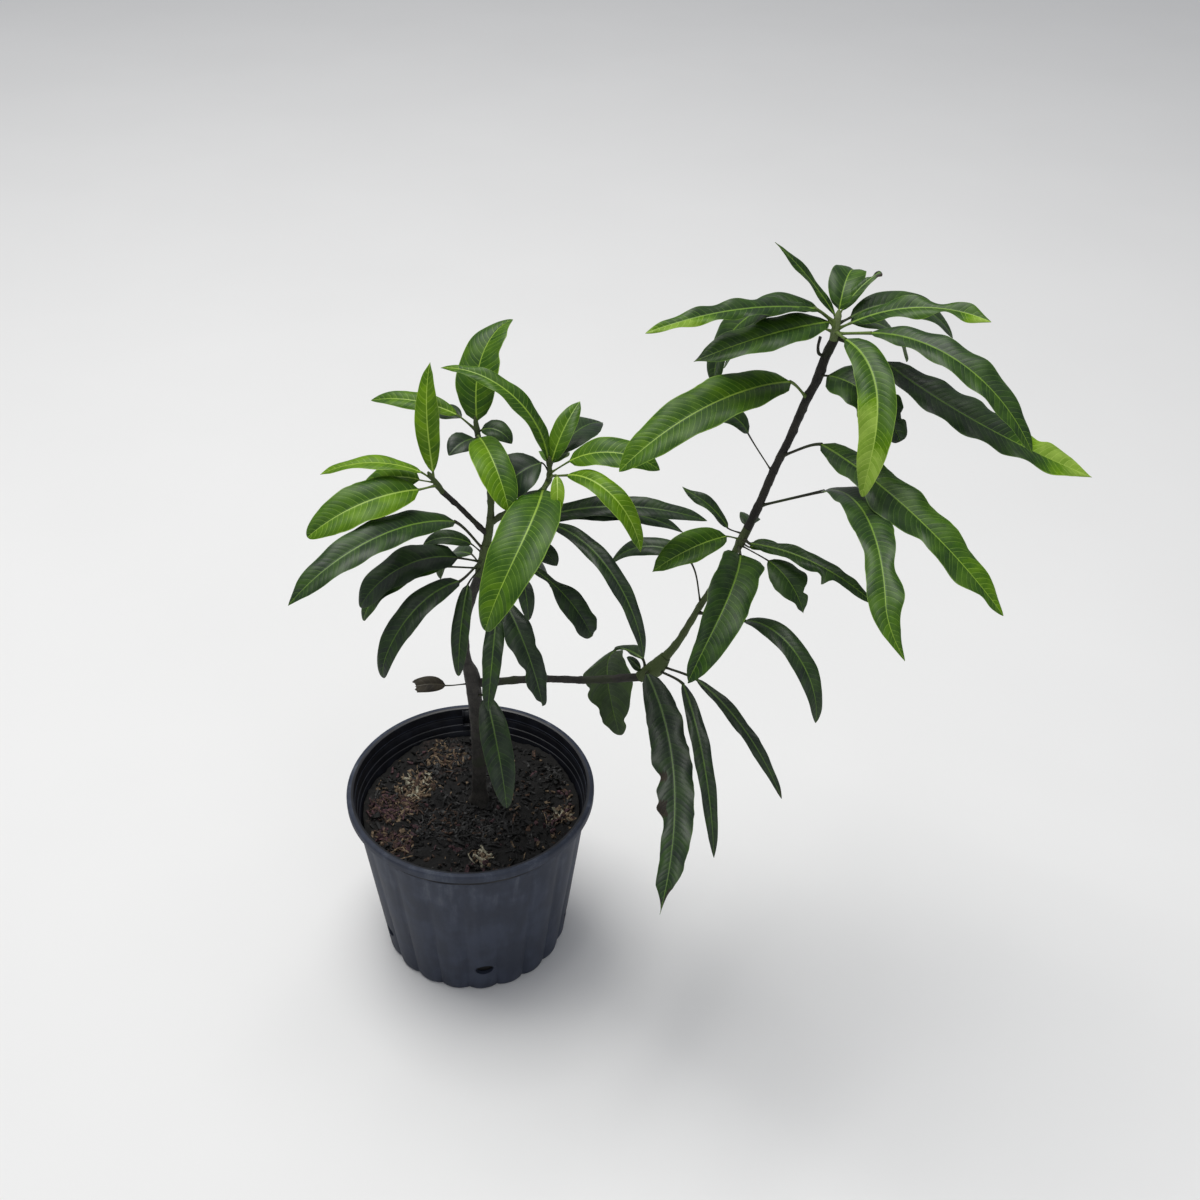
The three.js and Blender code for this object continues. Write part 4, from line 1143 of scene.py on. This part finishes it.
def grow(name, members, replaced, seed, green_from=GREEN_STALK_FROM):
    """Makes the blades of a whorl as one piece, and gives their stalks."""
    rng = np.random.default_rng(seed)
    blades, stalks, strips = Shell(), Shell(), []
    for number, (one, root, clear) in enumerate(members):
        length, bearing, rise = one["stalk"]
        heading = direction(bearing, rise)
        base = root + heading * length
        scale = leaf_scale(one)
        one["rib"] = RIB_WIDTH * scale
        put_blade(blades, one, base, rng, strips)
        rings = stalk_rings(one, root + heading * clear, base + heading * STALK_INTO_BLADE, scale)
        window = (number / len(members), 0.0, (number + WINDOW_SHARE) / len(members), 1.0)
        green = green_from < one["age"] < WITHER
        put_tube(stalks, rings, STALK_GREEN if green else STALK_DARK, window)
    pack_strips(blades, strips)
    blades.piece(name, "leaf", replaced)
    return stalks


print("scale of a 200 mm leaf:", leaf_scale(sample))

# %% Whorls, with their stems and buds
WHORL_SEED, STEM_SEED, STEM_SCARS = 100, 40, 3
STEM_LOOK = (GREEN_BARK, GREEN_STALK_FROM)  # its bark, and the age from which its stalks are green
BUD_STEMS = {  # the looks of the stems that end in a bud
    "leaves_middle_shoot": STEM_LOOK,
    "leaves_left_shoot": STEM_LOOK,
    "leaves_right_shoot_end": STEM_LOOK,
    "leaves_bough_end": (TIP_BARK, 0.65),
}
BUD = [(2.5, 1.05), (5.5, 0.8), (8.5, 0.4)]  # how far past the tip, and the share of its radius


def with_bud(table):
    """The rows of a stem, carried on into a pointed bud."""
    rows = np.asarray(table, float)
    heading = unit(rows[-1, :3] - rows[-2, :3])
    ends = [np.r_[rows[-1, :3] + heading * ahead, rows[-1, 3] * share] for ahead, share in BUD]
    return np.vstack([rows, ends])


for number, (name, leaves) in enumerate(LEAVES.items()):
    stem = STEMS[name]
    thick = np.mean([row[3] for row in stem])
    members = [(one, place_along(stem, one["at"]), thick * STALK_ROOT) for one in leaves]
    bark, green_from = BUD_STEMS.get(name, STEM_LOOK)
    stalks = grow(name + "_blades", members, [name], WHORL_SEED + number, green_from)
    stalks.piece(name + "_stalks", "bark", [name])
    core = Shell()
    rows = with_bud(stem) if name in BUD_STEMS else stem
    put_tube(core, limb_rings(rows, STEM_SEED + number, STEM_SCARS), bark)
    core.piece(name + "_stem", "bark", [name])

# %% Single leaves
SINGLE_SEED = 200
TAPER_LENGTH = 400  # over which a limb is taken to taper, for the roots of its stalks

for number, (name, (host, one)) in enumerate(SINGLE_LEAVES.items()):
    thick = np.interp(one["at"], [0, TAPER_LENGTH], [LIMBS[host][0][3], LIMBS[host][-1][3]])
    members = [(one, place_along(LIMBS[host], one["at"]), thick * STALK_ROOT)]
    stalks = grow(name + "_blade", members, [name], SINGLE_SEED + number)
    stalks.piece(name + "_stalk", "bark", [name])

# %% [markdown]
# ## Pot
# The pot is blow-moulded: a fluted wall, a rolled lip with a groove under it, three ledges
# inside that let pots stack, and drain holes round the foot. Its profile is turned round the
# axis with the flutes worked into each ring, and the holes are cut with a Boolean, as CAD
# cut them. A small moulded tab inside the rim is a plate with a raised edge on three sides.


# %% Pot finishes
def pot_finish():
    """Slate plastic with a bloom of dust, scuffed pale towards the rim."""
    finish = Finish("slate_plastic")
    height = finish.node("ShaderNodeSeparateXYZ", {}, {0: finish.place()}, output="Z")
    streaks = finish.noise(0.009, (1.0, 1.0, 7.0), 4.0)
    clouds = finish.noise(0.035, detail=5.0)
    grit = finish.noise(0.0012, detail=2.0)
    dusty = (streaks * 0.3 + clouds * 0.7).between(0.40, 0.64)
    base = finish.blend(dusty, (0.017, 0.023, 0.041), (0.033, 0.042, 0.068))
    smears = streaks * 0.45 + clouds * 0.4 + grit * 0.15
    scuffs = smears.between(0.52, 0.68) * height.between(0.10, 0.205)
    colour = finish.blend(scuffs * 0.6, base, (0.100, 0.110, 0.130))
    return finish.done(
        Base_Color=colour,
        Roughness=0.5 + clouds * 0.22,
        Normal=finish.bump(grit + streaks * 0.5, 0.0003, 0.5),
        Specular_IOR_Level=0.35,
    )


def shaded_plastic_finish():
    """The plastic inside the pot and in the groove under its lip, free of dust and darkened with painted
    shade.
    """
    finish = Finish("plastic_painted_shade")
    clouds = finish.noise(0.02, detail=4.0)
    colour = finish.blend(clouds.between(0.4, 0.7), (0.0035, 0.0042, 0.0075), (0.009, 0.011, 0.019))
    return finish.done(Base_Color=colour, Roughness=0.36 + clouds * 0.2)


# the second finish is the pot's own plastic darkened as painted shade, for the inside, the groove and the
# tab
SLATE, SHADED_PLASTIC = pot_finish(), shaded_plastic_finish()
print("pot finishes:", SLATE.name, SHADED_PLASTIC.name)

# %% Pot measures
POT_HEIGHT = 228.0
RIM, WALL_TOP, FOOT = 140.0, 134.0, 107.0  # radii
WALL, FLOOR = 2.4, 3.0  # thicknesses
FLUTES, FLUTE_DEPTH, STEPS_PER_FLUTE = 20, 3.0, 12
FLUTE_HEIGHTS = [0, 30, 110, 195, 208]
FLUTE_SHARES = [1.3, 1.15, 0.9, 0.5, 0.1]  # of the flute depth, at those heights
LEDGES, LEDGE_STEP = (214.0, 205.0, 196.0), 0.9  # heights of the stacking ledges, and their width
FLOOR_RING, HUB = 60.0, 0.5  # radii of the rings that a flat floor is made of


def wall_radius(z):
    """The radius of the wall at a height, over the flutes."""
    return FOOT + (WALL_TOP - FOOT) * z / POT_HEIGHT


def flute_depth(z):
    """How deep the flutes are at a height, as they fade out towards the lip."""
    return FLUTE_DEPTH * float(np.interp(z, FLUTE_HEIGHTS, FLUTE_SHARES))


print("radius of the wall at half height:", wall_radius(POT_HEIGHT / 2), "mm")


# %% Profile of the pot
def plain(rows):
    """Rows of (radius, height) that have no flutes."""
    return [(radius, z, 0.0) for radius, z in rows]


def wall_rows():
    """(radius, height, flute depth) from under the pot and up the fluted wall."""
    deep = flute_depth(0.0)
    foot = [(FOOT - 3.0, 0.0, deep), (FOOT - 1.2, 1.0, deep), (FOOT, 4.0, deep)]
    wall = [(wall_radius(z), z, flute_depth(z)) for z in np.linspace(8, 206.0, 36)]
    return plain([(HUB, 0.0), (FLOOR_RING, 0.0)]) + foot + wall


def groove_rows():
    """The groove that runs under the lip, its dark line a painted shadow."""
    return plain((wall_radius(z) - back, z) for back, z in ((0.6, 206.6), (1.6, 207.6), (1.6, 216.6)))


def lip_rows():
    """The rolled lip, over its brow and across its top."""
    brow = [(1.8, 217.0), (0.7, 217.5), (0.2, 218.6), (0.4, 221.0), (0.0, 223.0), (0.1, 225.8)]
    top = [(0.7, 227.2), (2.2, POT_HEIGHT), (5.0, POT_HEIGHT)]
    return plain((RIM - back, z) for back, z in brow + top)


def inside_rows():
    """From the lip's inner edge down the inner wall to the floor, set back at each ledge."""
    top = wall_radius(POT_HEIGHT)
    inner = top - 2.3
    rows = [(top - 0.2, 227.9), (top - 1.8, 227.2), (inner, 225.5)]
    for ledge in LEDGES:
        rows += [(inner - 0.2, ledge + 1.2), (inner - 0.35, ledge + 0.3)]
        inner -= LEDGE_STEP
        rows += [(inner - 0.2, ledge - 0.2), (inner - 0.45, ledge - 1.0)]
        inner -= (WALL_TOP - FOOT) / POT_HEIGHT * 8.0
    lining = FLUTE_DEPTH + WALL
    rows += [(wall_radius(z) - lining, z) for z in (182.0, 140.0, 90.0, 45.0, 8.0)]
    return plain([*rows, (wall_radius(FLOOR) - lining - 2.0, FLOOR), (FLOOR_RING, FLOOR), (HUB, FLOOR)])


print("rows of the fluted wall:", len(wall_rows()))

# %% Turn the pot
POT_SIDES = FLUTES * STEPS_PER_FLUTE
FLUTE_ARCH = 0.75  # low for flutes with narrow valleys
CAP_SPOT = 0.001  # the radius of a cap on the map


def turned(profile, angle):
    """A ring of points for each row of the profile, with the flutes worked in."""
    rows = np.array(profile)
    arch = np.abs(np.sin(angle * FLUTES / 2)) ** FLUTE_ARCH
    radius = rows[:, :1] - rows[:, 2:] * (1 - arch)
    height = np.broadcast_to(rows[:, 1:2], radius.shape)
    return np.stack([radius * np.cos(angle), radius * np.sin(angle), height], -1)


pot = Shell()
# the groove and the inside take the plastic darkened as painted shade
sections = [(SLATE, wall_rows()), (SHADED_PLASTIC, groove_rows()), (SLATE, lip_rows()), (SHADED_PLASTIC, inside_rows())]
profile = [row for _, rows in sections for row in rows]
row_finishes = [pot.material(made) for made, rows in sections for _ in rows]
pot_turn = full_turn(POT_SIDES)
pot_rings = turned(profile, pot_turn)
u = np.broadcast_to(np.arange(POT_SIDES + 1) / POT_SIDES, (len(profile), POT_SIDES + 1))
walk = walked(np.array(profile)[:, :2])
v = np.broadcast_to((walk / walk[-1])[:, None], u.shape)
wall_quads = lattice(len(profile), POT_SIDES, closed=True)
pot.put(pot_rings, wall_quads, spread(u, v), np.repeat(row_finishes[1:], POT_SIDES))
cap = cap_quads(POT_SIDES)
for ring, faces, middle in ((pot_rings[0], cap[:, ::-1], 0.2), (pot_rings[-1], cap, 0.4)):
    spot = np.stack([middle + CAP_SPOT * np.cos(pot_turn), 2 * CAP_SPOT + CAP_SPOT * np.sin(pot_turn)], -1)
    pot.put(ring, faces, spot[faces], SLATE)
pot_piece = pot.piece("nursery_pot", "pot", ["pot"], sharp=38)

# %% Moulded tab inside the rim
TAB_BEARING = 96.5
TAB_SKIN, TAB_ROOT = 1.0, 1.5  # how far its back is from the wall's outside, and how deep it is set in
TAB_BARS = [  # (left, right, low, high, how far it stands in from the wall)
    (-6.5, 6.5, 205.0, 225.0, 1.6), (-6.5, -5.3, 203.5, 226.0, 2.6), (5.3, 6.5, 203.5, 226.0, 2.6),
    (-6.5, 6.5, 203.5, 205.0, 2.6),
]
TAB_SQUARE = np.array([(0, 0), (0.2, 0), (0.2, 0.2), (0, 0.2)])  # its place on the map
UPRIGHT = np.array([0.0, 0.0, 1.0])
BOX_CORNERS = np.array([(x, y, z) for x in (0, 1) for y in (0, 1) for z in (0, 1)], float)
BOX_QUADS = np.array([
    (0, 1, 3, 2), (4, 6, 7, 5), (0, 4, 5, 1), (2, 3, 7, 6), (0, 2, 6, 4), (1, 5, 7, 3),
])

# the tab takes the plastic darkened as painted shade, like the inside of the pot
tab = Shell()
outward = direction(TAB_BEARING, 0.0)
sideways = np.array([outward[1], -outward[0], 0.0])
for number, (left, right, low, high, proud) in enumerate(TAB_BARS):
    span = np.array([proud + TAB_ROOT, right - left, high - low])
    box = BOX_CORNERS * span + np.array([wall_radius(high) - TAB_SKIN - span[0], left, low])
    points = box[:, :1] * outward + box[:, 1:2] * sideways + box[:, 2:] * UPRIGHT
    corners = TAB_SQUARE + np.array([number / len(TAB_BARS), 0.0])
    tab.put(points, BOX_QUADS, np.broadcast_to(corners, (6, 4, 2)), SHADED_PLASTIC)
tab.piece("rim_tab", "pot", [])

# %% Drain holes
HOLES, HOLE_BEARING = 5, 280  # their number, and the bearing of the first
HOLE_WIDTH, HOLE_HEIGHT, HOLE_CENTRE = 21.0, 16.0, 40.0
DRILL_SIDES, DRILL_REACH = 32, (-9.0, 14.0)  # from inside the wall to outside it
WELD_DISTANCE = 1e-6  # metres


def weld(piece):
    """Joins the points that the lattices left double, so that the wall is one closed body."""
    work = bmesh.new()
    work.from_mesh(piece.data)
    bmesh.ops.remove_doubles(work, verts=work.verts, dist=WELD_DISTANCE)
    work.to_mesh(piece.data)
    work.free()


def cut_holes(piece):
    """Cuts an oval hole through the wall at each drain, and applies the cut."""
    cutter = Shell()
    turn = full_turn(DRILL_SIDES)[:, None]
    for number in range(HOLES):
        outward = direction(HOLE_BEARING + number * 360 / HOLES, 0.0)
        sideways = np.array([-outward[1], outward[0], 0.0])
        oval = HOLE_WIDTH / 2 * np.cos(turn) * sideways + HOLE_HEIGHT / 2 * np.sin(turn) * UPRIGHT
        centre = outward * FOOT + UPRIGHT * HOLE_CENTRE
        put_tube(cutter, np.stack([centre + oval + outward * reach for reach in DRILL_REACH]), SHADED_PLASTIC)
    drill = bpy.data.objects.new("drill", cutter.mesh("drill"))
    bpy.context.scene.collection.objects.link(drill)
    weld(drill)
    weld(piece)
    cut = piece.modifiers.new("drains", "BOOLEAN")
    cut.operation = "DIFFERENCE"
    cut.solver = "EXACT"
    cut.object = drill
    bpy.context.view_layer.update()
    shape = bpy.data.meshes.new_from_object(piece.evaluated_get(bpy.context.evaluated_depsgraph_get()))
    piece.modifiers.clear()
    piece.data = shape
    bpy.data.objects.remove(drill)
    return len(shape.polygons)


print("faces with drain holes:", cut_holes(pot_piece))

# %% [markdown]
# ## Potting mix
# Bark-based mix is a dark crumbly mass with chips of red-brown bark, pale slivers and strands.
# The mass is one uneven body that fills the pot, seen through the drain holes too. The chips
# and strands are small solids strewn on it by a seeded rule, thickest where the real ones lie.

# %% Mix finishes
SPECK = 0.003  # metres


def speckled_finish(name, dark, light, roughness=0.9):
    """Specks of a dark and a lighter colour, rough as bark."""
    finish = Finish(name)
    specks = finish.noise(SPECK, detail=5.0)
    colour = finish.blend(specks.between(0.4, 0.68), dark, light)
    return finish.done(Base_Color=colour, Roughness=roughness, Normal=finish.bump(specks, SPECK * 0.3, 0.8))


MIX = speckled_finish("damp_mix", (0.0007, 0.0006, 0.0006), (0.0045, 0.0038, 0.0032))
BROWN_MIX = speckled_finish("brown_mix", (0.003, 0.0018, 0.0016), (0.030, 0.019, 0.016))
CHIP_LOOKS = {
    "black": ((0.0008, 0.0008, 0.0009), (0.0060, 0.0056, 0.0054), 0.75),
    "grey": ((0.012, 0.012, 0.012), (0.070, 0.069, 0.068)),
    "umber": ((0.020, 0.011, 0.007), (0.098, 0.056, 0.036)),
    "plum": ((0.028, 0.012, 0.016), (0.105, 0.051, 0.058)),
    "tan": ((0.080, 0.054, 0.032), (0.240, 0.175, 0.110)),
    "pale": ((0.180, 0.168, 0.120), (0.420, 0.395, 0.300)),
}
CHIPS = {kind: speckled_finish(kind + "_chip", *look) for kind, look in CHIP_LOOKS.items()}
print("kinds of bark:", ", ".join(CHIPS))

# %% Surface of the mix
SOIL_LEVEL, SOIL_RISE = 190.0, 5.0
WAVE_X, WAVE_Y = 23.0, 31.0
TRUNK_FOOT = (8.0, 14.0)
FLAT_RADIUS, SOIL_FADE = 30.0, 60.0  # level round the trunk, and over how far the waves set in
SOIL_GRAINS = [(2.4, 13, 40, 21), (1.7, 5.5, 90, 22), (0.7, 2.2, 99, 23)]  # height, size, shift, seed
LINING = FLUTE_DEPTH + WALL + 0.6  # from the wall's radius to the mix
LITTER = [  # x, y, spread and the kinds of bark that lie there
    (-68.0, 35.0, 24.0, ("pale", "tan", "tan", "umber")),
    (-100.0, -8.0, 20.0, ("umber", "plum", "plum")),
    (-86.0, -58.0, 26.0, ("umber", "umber", "tan", "plum")),
    (-80.0, 4.0, 20.0, ("plum", "umber", "tan")),
    (-37.0, 84.0, 26.0, ("umber", "tan", "black", "grey")),
    (100.0, -5.0, 17.0, ("tan", "umber", "pale", "plum")),
    (17.0, -76.0, 12.0, ("tan", "pale", "umber")),
    (95.0, 58.0, 15.0, ("grey", "grey", "black")),
    (-30.0, -24.0, 30.0, ("black", "grey", "black", "umber")),
    (18.0, -30.0, 32.0, ("black", "grey", "black")),
]
ELSEWHERE = ("black",) * 12 + ("grey", "grey", "umber", "tan", "plum")


def soil_height(x, y):
    """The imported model's surface, with crumbs on it."""
    away = np.clip((np.hypot(x - TRUNK_FOOT[0], y - TRUNK_FOOT[1]) - FLAT_RADIUS) / SOIL_FADE, 0, 1)
    height = SOIL_LEVEL + SOIL_RISE * away * np.sin(x / WAVE_X + 1) * np.cos(y / WAVE_Y)
    for rise, size, shift, seed in SOIL_GRAINS:
        height = height + rise * grain(x / size + shift, y / size + shift, seed)
    return height


SOIL_RADIUS = wall_radius(SOIL_LEVEL) - LINING
print("soil reaches", round(SOIL_RADIUS, 1), "mm from the axis")

# %% Body of the mix
RADIAL, AROUND = 110, 300
MIX_FOOT = 3.4
BROWN_LITTER, BROWN_GRAIN, BROWN_SEED = LITTER[:5], 9, 24

cosine, sine = np.cos(full_turn(AROUND)), np.sin(full_turn(AROUND))
share = np.linspace(0.004, 1, RADIAL)[:, None]
x, y = share * SOIL_RADIUS * cosine, share * SOIL_RADIUS * sine
top = np.stack([x, y, soil_height(x, y)], -1)
below = [(wall_radius(z) - LINING, z) for z in (178.0, 100.0, 40.0, MIX_FOOT)]
below += [(FLOOR_RING, MIX_FOOT), (HUB, MIX_FOOT)]
sides = [np.stack([cosine * radius, sine * radius, np.full(AROUND, z)], -1) for radius, z in below]
mix_rings = np.concatenate([top, sides])
map_radius = np.r_[np.linspace(0, 0.40, RADIAL), np.linspace(0.41, 0.49, len(below))][:, None]
map_turn = np.arange(AROUND + 1) / AROUND * 2 * np.pi
map_places = spread(0.5 + map_radius * np.cos(map_turn), 0.5 + map_radius * np.sin(map_turn))

mix = Shell()
east, north = mix_rings[:-1, :, 0], mix_rings[:-1, :, 1]
nearest = np.min([np.hypot(east - x, north - y) / wide for x, y, wide, _ in BROWN_LITTER], axis=0)
brown = nearest + 0.5 * grain(east / BROWN_GRAIN, north / BROWN_GRAIN, BROWN_SEED) < 1.0
numbers = np.where(brown, mix.material(BROWN_MIX), mix.material(MIX)).ravel()
mix.put(mix_rings, lattice(len(mix_rings), AROUND, closed=True)[:, ::-1], map_places[:, ::-1], numbers)
mix.piece("potting_mix_body", "potting_mix", ["potting_mix"])

# %% Strew bark by chance
STREWN_REACH = 0.97  # the share of the soil's radius that bark is strewn over
TRUNK_CLEAR, EDGE_CLEAR = 12, 6  # how far it stays from the trunk's middle and from the soil's edge
HEAP_SPREAD = 0.5  # the spread of a heap, as a share of its litter's


def strewn(rng, count, heaped):
    """Places on the soil, a share of them heaped round the litter's middles."""
    radius = SOIL_RADIUS * STREWN_REACH * np.sqrt(rng.uniform(0, 1, count))
    turn = rng.uniform(0, 2 * np.pi, count)
    spots = np.stack([radius * np.cos(turn), radius * np.sin(turn)], -1)
    room = np.array([wide**2 for _, _, wide, _ in LITTER])
    for i in np.nonzero(rng.uniform(0, 1, count) < heaped)[0]:
        x, y, wide, _ = LITTER[rng.choice(len(LITTER), p=room / room.sum())]
        spots[i] = x + rng.normal() * wide * HEAP_SPREAD, y + rng.normal() * wide * HEAP_SPREAD
    from_trunk, from_axis = np.hypot(*(spots - TRUNK_FOOT).T), np.hypot(*spots.T)
    return spots[(from_trunk > TRUNK_CLEAR) & (from_axis < SOIL_RADIUS - EDGE_CLEAR)]


def tumbled(rng, lean):
    """A random turn about the upright, with a random lean, as a matrix."""
    turns = ((rng.uniform(0, 2 * np.pi), "Z"), (rng.normal() * lean, "Y"), (rng.normal() * lean, "X"))
    around, tip, sway = (Matrix.Rotation(turn, 3, axis) for turn, axis in turns)
    return np.array(around @ tip @ sway).T


def chosen_finish(rng, spot, black=0.3):
    """A kind of bark from the nearest litter or, for a share of them, from the dark rest."""
    away = [math.hypot(spot[0] - x, spot[1] - y) / wide for x, y, wide, _ in LITTER]
    nearest = int(np.argmin(away))
    kinds = LITTER[nearest][3] if away[nearest] < 1 and rng.uniform() > black else ELSEWHERE
    return CHIPS[kinds[rng.integers(len(kinds))]]


def window_of(number, across):
    """The number's own square on a map that is divided into across by across squares."""
    left, low = number % across / across, number // across % across / across
    return left, low, left + 0.9 / across, low + 0.9 / across


print("of 100 places, kept:", len(strewn(np.random.default_rng(0), 100, 0.5)))

# %% Crumbs
rng = np.random.default_rng(5)
CRUMB_COUNT, CRUMB_HEAPED, CRUMB_SQUARES = 640, 0.15, 26
CRUMB_SIZES = (3.0, 12.0)
CRUMB_RINGS, CRUMB_SIDES = 5, 8
FLATTEST, FULLEST = (0.7, 0.5, 0.35), (1.6, 1.0, 0.8)  # how a crumb is stretched along its axes

polar, turn = np.linspace(0.1, 0.9, CRUMB_RINGS)[:, None] * np.pi, full_turn(CRUMB_SIDES)
ball = np.stack([np.sin(polar) * np.cos(turn), np.sin(polar) * np.sin(turn), np.cos(polar) + 0 * turn], -1)
crumbs = Shell()
for number, spot in enumerate(strewn(rng, CRUMB_COUNT, CRUMB_HEAPED)):
    size = rng.uniform(*CRUMB_SIZES) ** 0.9
    radius = size / 2 * rng.uniform(0.5, 1.15, (CRUMB_RINGS, CRUMB_SIDES))
    crumb = ball * radius[..., None] * rng.uniform(FLATTEST, FULLEST)
    crumb = crumb @ tumbled(rng, 0.6) + np.array([*spot, soil_height(*spot) + size * 0.06])
    put_tube(crumbs, crumb[::-1], chosen_finish(rng, spot, 0.5), window_of(number, CRUMB_SQUARES))
crumbs.piece("bark_crumbs", "potting_mix", [], sharp=30)

# %% Chips
CHIP_COUNT, CHIP_HEAPED, CHIP_SQUARES = 2300, 0.6, 48
CHIP_LENGTHS, CHIP_STRETCH = (3.0, 11.0), (0.6, 1.5)
CHIP_WIDTHS, CHIP_HEIGHTS = (0.15, 0.55), (0.8, 3.0)  # as a share of the length, and in millimetres

chips = Shell()
for number, spot in enumerate(strewn(rng, CHIP_COUNT, CHIP_HEAPED)):
    length = rng.uniform(*CHIP_LENGTHS) * rng.uniform(*CHIP_STRETCH)
    size = np.array([length, length * rng.uniform(*CHIP_WIDTHS), rng.uniform(*CHIP_HEIGHTS)])
    box = (BOX_CORNERS * 2 - 1) * size / 2 * rng.uniform(0.45, 1.0, (8, 3))
    box = box @ tumbled(rng, 0.5) + np.array([*spot, soil_height(*spot) + size[2] * 0.6])
    left, low, right, high = window_of(number, CHIP_SQUARES)
    corners = np.broadcast_to([(left, low), (right, low), (right, high), (left, high)], (6, 4, 2))
    chips.put(box, BOX_QUADS, corners, chosen_finish(rng, spot))
chips.piece("bark_chips", "potting_mix", [], sharp=30)

# %% Strands
STRAND_COUNT, STRAND_HEAPED = 380, 0.88
STRAND_LENGTHS, STRAND_RADII, STRAND_BEND = (5, 18), (0.5, 1.5), 0.06
STRAND_POINTS, STRAND_SIDES = 8, 6
STRAND_LIFT, STRAND_ARCH = 1.2, 1.4  # how far its ends lie above the soil, and its middle above them
STRAND_CLEAR = 3  # how far it stays from the soil's edge

strands = Shell()
spots = strewn(rng, STRAND_COUNT, STRAND_HEAPED)
for number, spot in enumerate(spots):
    length, turn, bend = rng.uniform(*STRAND_LENGTHS), rng.uniform(0, 2 * np.pi), rng.normal() * STRAND_BEND
    s = np.linspace(-0.5, 0.5, STRAND_POINTS) * length
    heading = turn + bend * s
    step = np.stack([np.cos(heading), np.sin(heading)], -1) * length / (STRAND_POINTS - 1)
    flat = spot + np.cumsum(step, 0) - step.sum(0) / 2
    flat *= np.minimum(1, (SOIL_RADIUS - STRAND_CLEAR) / np.maximum(np.hypot(*flat.T), 1))[:, None]
    arch = STRAND_ARCH * np.sin(np.pi * (s / length + 0.5))
    line = np.column_stack([flat, soil_height(*flat.T) + STRAND_LIFT + arch])
    rings = rings_round(line, np.full(STRAND_POINTS, rng.uniform(*STRAND_RADII)), STRAND_SIDES)
    window = (number / len(spots), 0.0, (number + 0.9) / len(spots), 1.0)
    put_tube(strands, rings, chosen_finish(rng, spot, 0.0), window)
strands.piece("bark_strands", "potting_mix", [])
